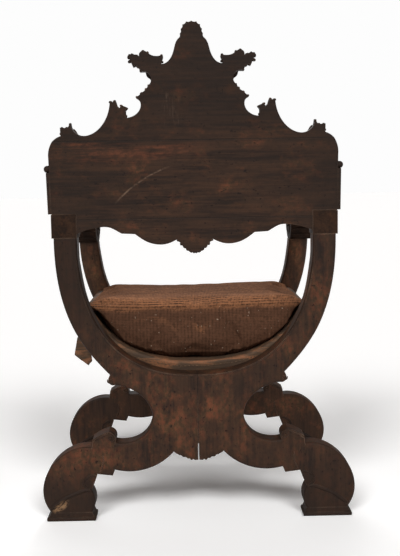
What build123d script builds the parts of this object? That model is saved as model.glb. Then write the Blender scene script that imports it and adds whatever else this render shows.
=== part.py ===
from build123d import *
import math
import os

# Savonarola chair in walnut, with a loose cushion on a leather sling.
# Millimetres. Z is up, the chair faces -Y, and +X is the sitter's left.
# The origin is on the floor, under the middle of the chair.

# --- driving dimensions -----------------------------------------------------

# the two X frames
frame_thickness = 44.0
frame_spacing = 436.0        # from the face of one frame to the same face of the other
frame_edge_round = 5.0
rounded_edge_length = 50.0   # shorter edges of a frame stay sharp
cutter_margin = 1.0          # by which a cutting block passes the piece
seam_slit_width = 2.4
seam_slit_height = 36.0

# the bowl that the arms make, a superellipse
bowl_half_width = 245.0
bowl_bottom = 315.0
bowl_rise = 291.0
bowl_squareness = 2.4
arm_width = 48.5

# places along the outline of one frame half, measured from the seam and the floor
shoulder_x = 184.0           # level with the bottom of the bowl
shoulder_undercut, shoulder_depth = 6.0, 22.0
shoulder_bulge = 7.0
waist_x, waist_z = 97.5, 231.0
waist_upper_x, waist_upper_drop = 128.0, 39.0     # below the bottom of the bowl
waist_lower_x, waist_lower_z = 113.0, 187.0
heel_x, heel_z = 155.0, 168.5
hip_foot_x, hip_foot_z = 176.5, 170.0
hip_x, hip_z = 191.5, 193.0
hip_tail_x, hip_tail_z = 225.0, 177.0
leg_top_x, leg_top_z = 227.0, 160.0
knee_x, knee_z = 334.0, 68.0
ankle_outer_x, ankle_inner_x = 318.0, 230.0
ankle_notch_x, ankle_notch_z = 231.0, 67.5
calf_bulge_x, calf_bulge_z = 223.0, 44.75
spur_outer_x, spur_outer_z = 217.0, 102.0
spur_inner_x, spur_inner_z = 184.0, 98.0
spur_step_x, spur_step_z = 179.5, 109.5
underside_dip = 19.0
apron_x, apron_z = 52.5, 147.0
apron_bottom = 129.0
apron_lobes = 4
apron_lobe_bulge = 1.2
apron_droop = 1.6
carved_edge_bow = 1.5        # of the short edges between scrolls

# foot pads
foot_height = 18.0
foot_lip_height = 8.0
foot_flare = 4.0             # in front of and behind the leg
foot_outer_flare = 9.0
foot_inner_flare = 7.5
foot_lip_round = 2.5

# pegs, dowels and tenons
fit_gap = 0.05               # all round a glued joint
dowel_radius = 6.0
seam_dowel_length = 70.0
seam_dowel_margin = 29.0     # from the bottom of the bowl
seam_dowel_spacing = 102.0
foot_dowel_length = 26.0
foot_dowel_spread = 50.0
arm_tenon_width = 36.0
arm_tenon_thickness = 16.0
arm_tenon_height = 24.0
rear_tenon_setback = 5.0     # from the front face of the rear frame
peg_radius = 4.0
peg_height = 12.0            # above the shoulder of the arm tenon
peg_dome = 1.0
peg_setback = 6.0            # from the inner side of the armrest

# stretcher behind the waist
stretcher_width = 60.0
stretcher_height = 76.0
stretcher_tenon_width = 30.0
stretcher_tenon_height = 44.0
tenon_depth = 20.0

# armrests
armrest_width = 52.0
armrest_thickness = 50.0
armrest_waist = 34.0         # thickness of the rail between block and scroll
armrest_dish = 4.0
armrest_bow = 14.0
armrest_bow_y = -40.0        # where the rail bows out furthest
armrest_cove = 14.0          # length of the hollow in front of the block
armrest_cove_depth = 3.0
armrest_front_width = 62.0
armrest_edge_round = 3.0
rear_block_depth = 50.0
scroll_radius = 46.0
scroll_drop = 1.0            # of the top of the scroll below the top of the block
scroll_seat_length = 37.5    # flat underside that stands on the front arm
scroll_neck_angle = 12.0
scroll_throat_angle = -35.0
scroll_eye_radius = 11.0
scroll_eye_height = 3.0

# seat rails, sling and cushion
rail_thickness = 24.0
rail_length_across = 52.0    # along the slope of the arm
rail_rise = 112.0            # of its middle line above the bottom of the bowl
rail_inset = 23.5            # from the inner edge of the arm
rail_tenon_thickness = 12.0
rail_tenon_width = 32.0
leather_thickness = 5.0
sling_lift = 19.0            # of the leather's top face above the bottom of the bowl
sling_rise = 235.0
sling_wrap = 40.0
sling_end_gap = 4.0          # from the frames
nail_count = 14
nail_head_radius = 4.5
nail_head_height = 2.6
nail_shank_radius = 1.2
nail_shank_length = 16.0
nail_drop = 30.0             # below the top of the wrap
nail_end_margin = 13.5       # from the ends of the leather
flap_thickness = 4.0
flap_seat = 14.0             # length of the wrap that it lies against
flap_end_gap = 1.0           # from the end of the wrap
# its free corners, from the lower outer corner of the wrap
flap_corners = ((23.0, 4.0), (30.0, -34.0), (1.0, -57.0), (-8.0, -47.0))
cushion_height = 130.0       # at the middle
cushion_gap = 0.4
cushion_end_gap = 8.0        # from the frames
cushion_round = 12.0

# back
board_thickness = 24.0
panel_end_setback = 1.0      # from the outer side of the armrest block
panel_flare = 2.0            # of each end, from the block up
panel_side_height = 114.0    # straight part of the panel's ends
panel_height = 148.0         # above the armrest blocks
panel_skirt = 12.3           # below their tops
valance_drop = 72.2          # from its seam to the tip of the shell
crest_height = 238.0
crest_shoulder = 8.5         # of the crest in from the widest part of the panel
panel_shoulder_hollow = 3.0
shell_lobe_bulge = 1.6
board_dowel_radius = 5.0
board_dowel_length = 48.0
crest_dowel_spread = 180.0
valance_dowel_spread = 150.0
side_gap = 0.3               # between the valance and the armrest blocks
tongue_width = 24.0
tongue_thickness = 10.0
tongue_below = 80.0          # below the panel
tongue_above = 60.0          # inside the panel
tongue_setback = 6.0         # from the front of the boards
socket_gap = 0.1             # running clearance on each side of a tongue
socket_floor_gap = 2.0
cheek_thickness = 6.5
cheek_depth = 27.0
cheek_height = 85.0
knob_radius = 7.5
knob_length = 12.0
knob_peg_radius = 3.0
knob_peg_length = 15.0
cheek_nail_radius = 1.2
cheek_nail_head_radius = 2.5
cheek_nail_head_height = 1.0
cheek_nail_length = 16.0
cheek_nail_heights = (12.0, 42.0, 72.0)
moulding_width = 12.0
moulding_thickness = 6.0
moulding_margin_x = 34.0
moulding_margin_z = 16.0
cartouche_half_width = 36.0
cartouche_half_height = 46.0
cartouche_thickness = 9.0
cartouche_rim = 8.0
cartouche_sink = 3.0
cartouche_height = 100.0     # above the crest seam
roundel_radius = 44.0
roundel_disc_thickness = 6.0
roundel_eye_radius = 12.0
roundel_eye_thickness = 10.0
roundel_petals = 8
petal_radius = 10.5
petal_thickness = 8.5
petal_circle_radius = 26.5
roundel_peg_radius = 8.0
roundel_peg_length = 12.0

# --- places worked out from them --------------------------------------------

shoulder_under_x = shoulder_x - shoulder_undercut
shoulder_under_z = bowl_bottom - shoulder_depth
waist_upper_z = bowl_bottom - waist_upper_drop
seam_dowel_top = bowl_bottom - seam_dowel_margin
rear_arm_top = bowl_bottom + bowl_rise
# from the backs of the rear feet to the fronts of the scrolls, the origin is in the middle
front_middle = (scroll_radius - frame_thickness / 2 - foot_flare - frame_spacing) / 2
rear_middle = front_middle + frame_spacing
rear_face = rear_middle + frame_thickness / 2
rear_inner_face = rear_middle - frame_thickness / 2
front_inner_face = front_middle + frame_thickness / 2
front_face = front_middle - frame_thickness / 2
armrest_top = rear_arm_top + armrest_thickness
armrest_outer_x = bowl_half_width + armrest_width
block_middle_x = bowl_half_width + armrest_width / 2
board_front = rear_face - board_thickness
board_middle = rear_face - board_thickness / 2
scroll_z = armrest_top - scroll_drop - scroll_radius
front_arm_top = scroll_z - math.sqrt(scroll_radius ** 2 - (scroll_seat_length / 2) ** 2)
rail_height = bowl_bottom + rail_rise
sling_bottom = bowl_bottom + sling_lift
cushion_top = sling_bottom + cushion_height
panel_bottom_half_width = armrest_outer_x - panel_end_setback
panel_top_half_width = panel_bottom_half_width + panel_flare
crest_half_width = panel_top_half_width - crest_shoulder
crest_seam = armrest_top + panel_height
valance_seam = armrest_top - panel_skirt


# --- small helpers ----------------------------------------------------------

def upright(face, y_back, thickness):
    """Extrude a face drawn in X and Z from y_back towards the front."""
    plane = Plane(origin=(0, y_back, 0), x_dir=(1, 0, 0), z_dir=(0, -1, 0))
    return plane * extrude(face, thickness)


def sideways(face, x_start, width):
    """Extrude a face drawn in Y and Z from x_start towards +X."""
    return Pos(x_start, 0, 0) * (Plane.YZ * extrude(face, width))


def span_box(x0, x1, y0, y1, z0, z1):
    middle = ((x0 + x1) / 2, (y0 + y1) / 2, (z0 + z1) / 2)
    return Pos(*middle) * Box(x1 - x0, y1 - y0, z1 - z0)


def rod_x(x0, x1, y, z, radius):
    return Pos((x0 + x1) / 2, y, z) * Rot(0, 90, 0) * Cylinder(radius, abs(x1 - x0))


def rod_y(x, y0, y1, z, radius):
    return Pos(x, (y0 + y1) / 2, z) * Rot(90, 0, 0) * Cylinder(radius, abs(y1 - y0))


def rod_z(x, y, z0, z1, radius):
    return Pos(x, y, (z0 + z1) / 2) * Cylinder(radius, z1 - z0)


def mirrored(shape):
    return mirror(shape, about=Plane.YZ)


def lobes(points, sagitta):
    """Arcs from point to point that bulge to one side, as the rim of a shell."""
    return [SagittaArc(a, b, sagitta) for a, b in zip(points, points[1:])]


def curve_x(height, half_width, bottom, rise):
    """Half width of a bowl-shaped superellipse at one height."""
    depth = max(0.0, 1 - (height - bottom) / rise)
    return half_width * (1 - depth ** bowl_squareness) ** (1 / bowl_squareness)


def curve_points(half_width, bottom, rise, top, count):
    """Points up one side of the bowl, closer together near its bottom."""
    heights = [bottom + (top - bottom) * (i / count) ** 2 for i in range(count + 1)]
    return [(curve_x(z, half_width, bottom, rise), z) for z in heights]


def bowl_point(height, inset):
    """A point inside the arm, inset square to its inner edge, and the edge's direction there."""
    step = 0.5
    low = curve_x(height - step, bowl_half_width, bowl_bottom, bowl_rise)
    high = curve_x(height + step, bowl_half_width, bowl_bottom, bowl_rise)
    along = Vector(high - low, 2 * step).normalized()
    outward = Vector(along.Y, -along.X)
    edge = Vector(curve_x(height, bowl_half_width, bowl_bottom, bowl_rise), height)
    return edge + outward * inset, along, outward


# --- frames -----------------------------------------------------------------

def arm_lines():
    """The inner edge, top and outer edge of one arm, from the seam round to the shoulder."""
    inner = curve_points(bowl_half_width, bowl_bottom, bowl_rise, rear_arm_top, 9)
    outer = [(shoulder_x, bowl_bottom)]
    for part in (0.27, 0.39, 0.52, 0.66, 0.82):
        point = bowl_point(bowl_bottom + bowl_rise * part, arm_width)[0]
        outer.append((point.X, point.Y))
    outer.append((bowl_half_width + arm_width, rear_arm_top))
    return [Spline(inner, tangents=[(1, 0), (0, 1)]), Line(inner[-1], outer[-1]), Spline(outer)]


def leg_lines():
    """The hip scroll, the knee, the calf and the spur under the knee."""
    hip_mid = (hip_foot_x + 0.2 * (hip_x - hip_foot_x), hip_foot_z + 0.74 * (hip_z - hip_foot_z))
    knee_mid = (leg_top_x + 0.73 * (knee_x - leg_top_x), knee_z + 0.685 * (leg_top_z - knee_z))
    return [
        ThreePointArc((hip_foot_x, hip_foot_z), hip_mid, (hip_x, hip_z)),
        SagittaArc((hip_x, hip_z), (hip_tail_x, hip_tail_z), carved_edge_bow),
        Line((hip_tail_x, hip_tail_z), (leg_top_x, leg_top_z)),
        Spline((leg_top_x, leg_top_z), knee_mid, (knee_x, knee_z), (ankle_outer_x, foot_height)),
        Line((ankle_outer_x, foot_height), (ankle_inner_x, foot_height)),
        ThreePointArc((ankle_inner_x, foot_height), (calf_bulge_x, calf_bulge_z),
                      (ankle_notch_x, ankle_notch_z)),
        SagittaArc((ankle_notch_x, ankle_notch_z), (spur_outer_x, spur_outer_z), carved_edge_bow),
        Line((spur_outer_x, spur_outer_z), (spur_inner_x, spur_inner_z)),
        Line((spur_inner_x, spur_inner_z), (spur_step_x, spur_step_z)),
    ]


def frame_half_outline():
    """Half of one X frame: arm, waist and leg, down to the shell under the crossing."""
    waist = Spline((shoulder_under_x, shoulder_under_z), (waist_upper_x, waist_upper_z),
                   (waist_x, waist_z), (waist_lower_x, waist_lower_z),
                   (heel_x, heel_z), (hip_foot_x, hip_foot_z))
    rim = []
    for i in range(apron_lobes + 1):
        part = 1 - i / apron_lobes
        rim.append((apron_x * part, apron_bottom + (apron_z - apron_bottom) * part ** apron_droop))
    lines = arm_lines()
    lines.append(SagittaArc((shoulder_x, bowl_bottom), (shoulder_under_x, shoulder_under_z),
                            shoulder_bulge))
    lines.append(waist)
    lines += leg_lines()
    lines.append(SagittaArc((spur_step_x, spur_step_z), (apron_x, apron_z), underside_dip))
    lines += lobes(rim, apron_lobe_bulge)
    lines.append(Line((0, apron_bottom), (0, bowl_bottom)))
    return make_face(lines)


def long_arrises(solid, y_values):
    """The long edges that lie in the front or rear face of a frame, away from the seam."""
    picked = []
    for edge in solid.edges():
        box = edge.bounding_box()
        flat = any(abs(box.min.Y - y) < 0.01 and abs(box.max.Y - y) < 0.01 for y in y_values)
        long = edge.length > rounded_edge_length
        if flat and long and box.max.X > 1 and box.max.Z > foot_height + 1:
            picked.append(edge)
    return picked


def frame_half(middle_y, arm_top, tenon_y):
    """The +X half of a frame, with the slit at the foot of its seam and the tenon on its arm."""
    y_back = middle_y + frame_thickness / 2
    y_front = y_back - frame_thickness
    blank = upright(frame_half_outline(), y_back, frame_thickness)
    half = blank & span_box(-cutter_margin, 2 * knee_x, y_front - cutter_margin,
                            y_back + cutter_margin, 0, arm_top)
    half = fillet(long_arrises(half, (y_front, y_back)), frame_edge_round)
    half -= span_box(-cutter_margin, seam_slit_width / 2, y_front, y_back,
                     0, apron_bottom + seam_slit_height)
    middle_x = arm_middle_x(arm_top)
    half += span_box(middle_x - arm_tenon_width / 2, middle_x + arm_tenon_width / 2,
                     tenon_y - arm_tenon_thickness / 2, tenon_y + arm_tenon_thickness / 2,
                     arm_top, arm_top + arm_tenon_height)
    for z in (seam_dowel_top - seam_dowel_spacing, seam_dowel_top):
        half -= rod_x(-cutter_margin, seam_dowel_length / 2 + fit_gap, middle_y, z,
                      dowel_radius + fit_gap)
    for x in foot_dowel_places():
        half -= rod_z(x, middle_y, foot_height, foot_height + foot_dowel_length / 2 + fit_gap,
                      dowel_radius + fit_gap)
    return half


def arm_middle_x(height):
    return curve_x(height, bowl_half_width, bowl_bottom, bowl_rise) + arm_width / 2


def foot_dowel_places():
    middle = (ankle_outer_x + ankle_inner_x) / 2
    return (middle - foot_dowel_spread / 2, middle + foot_dowel_spread / 2)


def seam_dowels(middle_y):
    """Dowels across the seam between the two halves of a frame."""
    half = seam_dowel_length / 2
    return [rod_x(-half, half, middle_y, z, dowel_radius)
            for z in (seam_dowel_top - seam_dowel_spacing, seam_dowel_top)]


def foot_pad(middle_y):
    """A flared pad under one leg, with a rounded lip where it meets the floor."""
    x0 = ankle_inner_x - foot_inner_flare
    x1 = ankle_outer_x + foot_outer_flare
    depth = frame_thickness + 2 * foot_flare
    middle_x = (x0 + x1) / 2
    lip = Pos(middle_x, middle_y, foot_lip_height / 2) * Box(x1 - x0, depth, foot_lip_height)
    lip = fillet(lip.edges(), foot_lip_round)
    low = Pos(middle_x, middle_y, foot_lip_height - foot_lip_round) * Rectangle(
        x1 - x0 - 2 * foot_lip_round, depth - 2 * foot_lip_round)
    high = Pos((ankle_inner_x + ankle_outer_x) / 2, middle_y, foot_height) * Rectangle(
        ankle_outer_x - ankle_inner_x, frame_thickness)
    pad = lip + loft([low, high])
    for x in foot_dowel_places():
        pad -= rod_z(x, middle_y, foot_height - foot_dowel_length / 2 - fit_gap,
                     foot_height + cutter_margin, dowel_radius + fit_gap)
    return pad


def foot_dowels():
    """Dowels between the legs and the pads, two in each foot."""
    dowels = []
    for middle_y in (rear_middle, front_middle):
        for x in foot_dowel_places():
            dowel = rod_z(x, middle_y, foot_height - foot_dowel_length / 2,
                          foot_height + foot_dowel_length / 2, dowel_radius)
            dowels += [dowel, mirrored(dowel)]
    return dowels


# --- stretcher and seat rails -----------------------------------------------

def bar_with_tenons(placing, width, height, tenon_width, tenon_height, grow):
    """A bar between the two frames, with a tenon into each; grow makes it into its own mortise."""
    middle_y = (rear_inner_face + front_inner_face) / 2
    length = rear_inner_face - front_inner_face
    body = placing * (Pos(0, middle_y, 0) * Box(width, length, height))
    tenon = placing * (Pos(0, middle_y, 0) * Box(
        tenon_width + 2 * grow, length + 2 * (tenon_depth + grow), tenon_height + 2 * grow))
    return body, tenon


def stretcher_pieces(grow):
    return bar_with_tenons(Pos(0, 0, waist_z), stretcher_width, stretcher_height,
                           stretcher_tenon_width, stretcher_tenon_height, grow)


def rail_placing():
    """Where the left seat rail lies inside the arm: its middle, tilted along the arm."""
    centre, along, outward = bowl_point(rail_height, rail_inset)
    tilt = math.degrees(math.atan2(along.X, along.Y))
    return Pos(centre.X, 0, centre.Y) * Rot(0, tilt, 0)


def rail_pieces(grow):
    return bar_with_tenons(rail_placing(), rail_thickness, rail_length_across,
                           rail_tenon_thickness, rail_tenon_width, grow)


def seat_rail():
    """The left seat rail, with a round top edge for the leather to bear on."""
    body, tenon = rail_pieces(0)
    top = [edge for edge in body.edges().filter_by(Axis.Y)]
    top = sorted(top, key=lambda edge: edge.center().Z)[-2:]
    return fillet(top, rail_thickness / 2 - 0.1) + tenon


# --- sling ------------------------------------------------------------------

def wrap_frame():
    """Centre of the rail's round top edge, and the directions along and out of the rail."""
    centre, along, outward = bowl_point(rail_height, rail_inset)
    return centre + along * (rail_length_across / 2 - rail_thickness / 2), along, outward


def wrap_points(radius, down):
    """Inner side, top and outer side of the wrap, and its end lower down the rail."""
    centre, along, outward = wrap_frame()
    points = (centre - outward * radius, centre + along * radius, centre + outward * radius,
              centre + outward * radius - along * down)
    return [(point.X, point.Y) for point in points]


def sling_curve(below_top_face, reach):
    """One face of the hanging leather, from the middle to the point where it meets the wrap."""
    bottom = sling_bottom - below_top_face
    rise = sling_rise + below_top_face
    half_width = reach[0] / curve_x(reach[1], 1.0, bottom, rise)
    heights = [bottom + (reach[1] - bottom) * part for part in (0.0, 0.03, 0.12, 0.28, 0.52)]
    points = [(curve_x(z, half_width, bottom, rise), z) for z in heights]
    along = wrap_frame()[1]
    return Spline(points + [reach], tangents=[(1, 0), (along.X, along.Y)])


def sling():
    """Leather that hangs between the rails and wraps over each of them."""
    under = wrap_points(rail_thickness / 2 + fit_gap, sling_wrap)
    over = wrap_points(rail_thickness / 2 + leather_thickness, sling_wrap)
    low = sling_curve(leather_thickness, under[0])
    high = sling_curve(0, over[0])
    face = make_face([
        low, ThreePointArc(*under[:3]), Line(under[2], under[3]), Line(under[3], over[3]),
        Line(over[3], over[2]), ThreePointArc(*reversed(over[:3])), high,
        Line((0, sling_bottom), (0, sling_bottom - leather_thickness))])
    length = rear_inner_face - front_inner_face - 2 * sling_end_gap
    half = upright(face, rear_inner_face - sling_end_gap, length)
    return half + mirrored(half)


def nail_places():
    """Where the nails enter the outer face of the left wrap: y, and the point in X and Z."""
    centre, along, outward = wrap_frame()
    point = centre + outward * (rail_thickness / 2 + leather_thickness) - along * nail_drop
    first = front_inner_face + sling_end_gap + nail_end_margin
    last = rear_inner_face - sling_end_gap - nail_end_margin
    step = (last - first) / (nail_count - 1)
    return [(first + i * step, point) for i in range(nail_count)]


def nail(y, point, with_head):
    """A domed nail driven square into the outer face of the rail."""
    outward = wrap_frame()[2]
    axis = Vector(outward.X, 0, outward.Y)
    seat = Plane(origin=(point.X, y, point.Y), z_dir=(axis.X, axis.Y, axis.Z))
    shank = seat * (Pos(0, 0, -nail_shank_length / 2) * Cylinder(nail_shank_radius, nail_shank_length))
    if not with_head:
        return shank
    ball_radius = (nail_head_radius ** 2 + nail_head_height ** 2) / (2 * nail_head_height)
    dome = Pos(0, 0, nail_head_height - ball_radius) * Sphere(ball_radius)
    head = dome & (Pos(0, 0, nail_head_height / 2) * Cylinder(nail_head_radius, nail_head_height))
    return shank + seat * head


def flap():
    """The loose rear corner of the leather, folded out past the left arm."""
    end = Vector(*wrap_points(rail_thickness / 2 + leather_thickness + fit_gap, sling_wrap)[3])
    along = wrap_frame()[1]
    corners = [end + along * flap_seat] + [end + Vector(*corner) for corner in flap_corners] + [end]
    face = make_face(Polyline([(corner.X, corner.Y) for corner in corners], close=True))
    return upright(face, rear_inner_face - sling_end_gap - flap_end_gap, flap_thickness)


# --- cushion ----------------------------------------------------------------

def cushion():
    """A box cushion whose underside follows the leather."""
    reach = wrap_points(rail_thickness / 2 + leather_thickness + cushion_gap, 0)[0]
    under = sling_curve(-cushion_gap, reach)
    along = wrap_frame()[1]
    corner = Vector(*reach) + along * ((cushion_top - reach[1]) / along.Y)
    face = make_face([under, Line(reach, (corner.X, cushion_top)),
                      Line((corner.X, cushion_top), (0, cushion_top)),
                      Line((0, cushion_top), (0, sling_bottom + cushion_gap))])
    length = rear_inner_face - front_inner_face - 2 * cushion_end_gap
    half = upright(face, rear_inner_face - cushion_end_gap, length)
    block = half + mirrored(half)
    ends = [edge for edge in block.edges() if edge.length > length / 3
            and abs(edge.tangent_at(0.5).Y) < 0.5]
    return fillet(ends, cushion_round)


# --- armrests ---------------------------------------------------------------

def armrest_side():
    """Side outline of an armrest: rear block, dished rail and front scroll, in Y and Z."""
    block_front = rear_face - rear_block_depth
    y = front_middle
    neck, throat = [
        (y + scroll_radius * math.cos(angle), scroll_z + scroll_radius * math.sin(angle))
        for angle in (math.radians(scroll_neck_angle), math.radians(scroll_throat_angle))]
    cove = (block_front - armrest_cove, armrest_top - armrest_waist)
    top = Spline((y, scroll_z + scroll_radius), (0, armrest_top - armrest_dish),
                 (block_front, armrest_top), tangents=[(1, 0), (1, 0)])
    under = Spline(cove, (0, cove[1] - armrest_dish), neck, tangents=[(-1, 0), (-1, -0.6)])
    flat = scroll_seat_length / 2
    front = ThreePointArc((y - flat, front_arm_top), (y - scroll_radius, scroll_z),
                          (y, scroll_z + scroll_radius))
    back = ThreePointArc(neck, throat, (y + flat, front_arm_top))
    return make_face([
        top, Line((block_front, armrest_top), (rear_face, armrest_top)),
        Line((rear_face, armrest_top), (rear_face, rear_arm_top)),
        Line((rear_face, rear_arm_top), (block_front, rear_arm_top)),
        SagittaArc((block_front, rear_arm_top), cove, armrest_cove_depth), under, back,
        Line((y + flat, front_arm_top), (y - flat, front_arm_top)), front])


def armrest_plan():
    """Outline of an armrest from above: square at the rear, bowed outwards, wider in front."""
    inner = bowl_half_width
    outer = armrest_outer_x
    block_front = rear_face - rear_block_depth
    front = front_middle - scroll_radius - cutter_margin
    front_outer = inner + armrest_front_width
    return make_face([
        Line((inner, rear_face), (outer, rear_face)), Line((outer, rear_face), (outer, block_front)),
        Spline((outer, block_front), (outer + armrest_bow, armrest_bow_y), (front_outer, front),
               tangents=[(0.1, -1), (-0.1, -1)]),
        Line((front_outer, front), (inner, front)),
        Spline((inner, front), (inner + armrest_bow / 2, armrest_bow_y), (inner, block_front),
               tangents=[(0, 1), (0, 1)]),
        Line((inner, block_front), (inner, rear_face))])


def armrest_tenon_y():
    """Middle of the tenon on the rear arm and of the one on the front arm."""
    rear = rear_inner_face + rear_tenon_setback + arm_tenon_thickness / 2
    return rear, front_middle


def armrest():
    """The left armrest, with its mortises, the socket for the back and its peg holes."""
    reach = armrest_width + armrest_front_width + armrest_bow
    side = sideways(armrest_side(), bowl_half_width - cutter_margin, reach)
    plan = extrude(armrest_plan(), armrest_top + cutter_margin)
    body = side & plan
    long_edges = [edge for edge in body.edges() if edge.length > frame_spacing / 3]
    body = fillet(long_edges, armrest_edge_round)
    eye = rod_x(bowl_half_width - scroll_eye_height, bowl_half_width + armrest_front_width
                + scroll_eye_height, front_middle, scroll_z, scroll_eye_radius)
    body += eye
    rear_y, front_y = armrest_tenon_y()
    for y, top in ((rear_y, rear_arm_top), (front_y, front_arm_top)):
        x = arm_middle_x(top)
        half_x = arm_tenon_width / 2 + fit_gap
        half_y = arm_tenon_thickness / 2 + fit_gap
        body -= span_box(x - half_x, x + half_x, y - half_y, y + half_y,
                         top - cutter_margin, top + arm_tenon_height + fit_gap)
    body -= tongue_box(socket_gap, armrest_top - armrest_thickness - cutter_margin,
                       armrest_top + cutter_margin)
    for peg in armrest_pegs_left(fit_gap):
        body -= peg
    return body


def armrest_pegs_left(grow):
    """The pegs through the left armrest, in from its outer side across both arm tenons."""
    rear_y, front_y = armrest_tenon_y()
    rear_end = armrest_outer_x + peg_dome
    front_end = bowl_half_width + armrest_front_width + peg_dome
    start = bowl_half_width + peg_setback
    return [rod_x(start - grow, rear_end, rear_y, rear_arm_top + peg_height, peg_radius + grow),
            rod_x(start - grow, front_end, front_y, front_arm_top + peg_height, peg_radius + grow)]


# --- back -------------------------------------------------------------------

def tongue_box(grow, z0, z1):
    """The tongue's section between two heights, grown by a clearance on each side."""
    half_x = tongue_width / 2 + grow
    y_middle = board_front + tongue_setback + tongue_thickness / 2
    half_y = tongue_thickness / 2 + grow
    return span_box(block_middle_x - half_x, block_middle_x + half_x,
                    y_middle - half_y, y_middle + half_y, z0, z1)


def back_tongue():
    return tongue_box(0, armrest_top - tongue_below, armrest_top + tongue_above)


def back_socket():
    """The socket for the left tongue, from the top of the armrest down into the rear arm."""
    return tongue_box(socket_gap, armrest_top - tongue_below - socket_floor_gap,
                      armrest_top + cutter_margin)


def panel_face():
    """Main board, notched below between the armrest blocks."""
    inner = bowl_half_width - side_gap
    side_top = armrest_top + panel_side_height
    shoulder = (crest_half_width, crest_seam)
    return make_face([
        Line((0, valance_seam), (inner, valance_seam)), Line((inner, valance_seam), (inner, armrest_top)),
        Line((inner, armrest_top), (panel_bottom_half_width, armrest_top)),
        Line((panel_bottom_half_width, armrest_top), (panel_top_half_width, side_top)),
        SagittaArc((panel_top_half_width, side_top), shoulder, -panel_shoulder_hollow),
        Line(shoulder, (0, crest_seam)), Line((0, crest_seam), (0, valance_seam))])


def crest_face():
    """Half of the crest: shoulder, horn, bay, two prongs, cusp, leaf scroll and shell."""
    # drawn half the width and the whole height of the crest
    drawn_x, drawn_z = 289.5, 238.0

    def at(x, z):
        return (x * crest_half_width / drawn_x, crest_seam + z * crest_height / drawn_z)

    shell = [at(*p) for p in ((26, 204), (23.5, 213), (21.5, 222), (18, 230.5), (10.5, 236.5), (0, drawn_z))]
    lines = [
        SagittaArc(at(drawn_x, 0), at(271.5, 11.5), -carved_edge_bow),
        Polyline(at(271.5, 11.5), at(272, 28.5), at(256.5, 27.5), at(250.5, 38)),
        Spline(at(250.5, 38), at(243, 19.5), at(228, 11.5), at(205, 16), at(185, 33.5),
               at(173, 57), at(169, 79.5)),
        SagittaArc(at(169, 79.5), at(157, 80.5), carved_edge_bow),
        Polyline(at(157, 80.5), at(152, 64), at(144.5, 71.5), at(133.5, 67), at(137.5, 60),
                 at(137, 46.5)),
        Spline(at(137, 46.5), at(117, 52.5), at(108, 63), at(106, 73), at(115.5, 86)),
        Spline(at(115.5, 86), at(107, 93), at(99.5, 99)),
        Spline(at(99.5, 99), at(94.5, 103), at(91, 110)),
        Spline(at(91, 110), at(84.5, 118), at(84, 127), at(89, 135), at(97, 139)),
        Polyline(at(97, 139), at(105, 139), at(109, 147), at(115, 151), at(120, 148.5),
                 at(126.5, 163), at(128.5, 173.5), at(119, 173.5), at(107, 169.5)),
        Spline(at(107, 169.5), at(105, 177), at(98.5, 180), at(84, 172), at(70, 169), at(59, 171.5)),
        Spline(at(59, 171.5), at(59.5, 165), at(62, 159), at(61.5, 153)),
        Spline(at(61.5, 153), at(51, 156.5), at(42.5, 166), at(36.5, 181), at(32, 196), at(26, 204)),
    ]
    lines += lobes(shell, shell_lobe_bulge)
    lines += [Line((0, crest_seam + crest_height), (0, crest_seam)),
              Line((0, crest_seam), at(drawn_x, 0))]
    return make_face(lines)


def valance_face():
    """Half of the lower board: flat arch, step, round lobe and the shell in the middle."""
    side = bowl_half_width - side_gap
    # drawn half the width and the whole depth of the valance
    drawn_x, drawn_z = 244.7, 72.2

    def at(x, z):
        return (x * side / drawn_x, valance_seam - z * valance_drop / drawn_z)

    shell = [at(*p) for p in ((36.5, 43.5), (31, 50), (26, 57), (19.5, 63), (13, 68.5), (5, 71.5),
                              (0, drawn_z))]
    lines = [
        Line((side, valance_seam), at(drawn_x, 29)),
        Spline(at(drawn_x, 29), at(222, 21), at(195, 16), at(175, 17.5), at(163, 23.5), at(151.5, 30)),
        Line(at(151.5, 30), at(124, 31.5)),
        Spline(at(124, 31.5), at(112, 40.5), at(98, 48.5), at(80, 53.5), at(62, 53.5), at(45, 48),
               at(36.5, 43.5)),
    ]
    lines += lobes(shell, shell_lobe_bulge)
    lines += [Line((0, valance_seam - valance_drop), (0, valance_seam)),
              Line((0, valance_seam), (side, valance_seam))]
    return make_face(lines)


def board(half_face):
    """A whole board of the back from half of its outline."""
    half = upright(half_face, rear_face, board_thickness)
    return half + mirrored(half)


def board_dowels(seam, places, grow=0.0):
    half = board_dowel_length / 2 + grow
    return [rod_z(x, board_middle, seam - half, seam + half, board_dowel_radius + grow)
            for x in places]


def crest_dowel_places():
    return (-crest_dowel_spread, 0, crest_dowel_spread)


def valance_dowel_places():
    return (-valance_dowel_spread, 0, valance_dowel_spread)


def end_x(height_above_block):
    """Half width of the panel's end at a height above the armrest block."""
    spread = panel_top_half_width - panel_bottom_half_width
    return panel_bottom_half_width + spread * height_above_block / panel_side_height


def cheek():
    """The strip on the left end of the panel."""
    low = end_x(0) + fit_gap
    high = end_x(cheek_height) + fit_gap
    face = make_face(Polyline([
        (low, armrest_top), (low + cheek_thickness, armrest_top),
        (high + cheek_thickness, armrest_top + cheek_height),
        (high, armrest_top + cheek_height)], close=True))
    return upright(face, rear_face, cheek_depth)


def cheek_nails(with_head):
    """Small nails that hold the left strip, from top to bottom."""
    nails = []
    for height in cheek_nail_heights:
        outer = end_x(height) + fit_gap + cheek_thickness
        z = armrest_top + height
        shape = rod_x(outer - cheek_nail_length, outer + cheek_nail_head_height / 2,
                      board_middle, z, cheek_nail_radius)
        if with_head:
            shape += rod_x(outer + fit_gap, outer + cheek_nail_head_height, board_middle, z,
                           cheek_nail_head_radius)
        nails.append(shape)
    return nails


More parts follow.
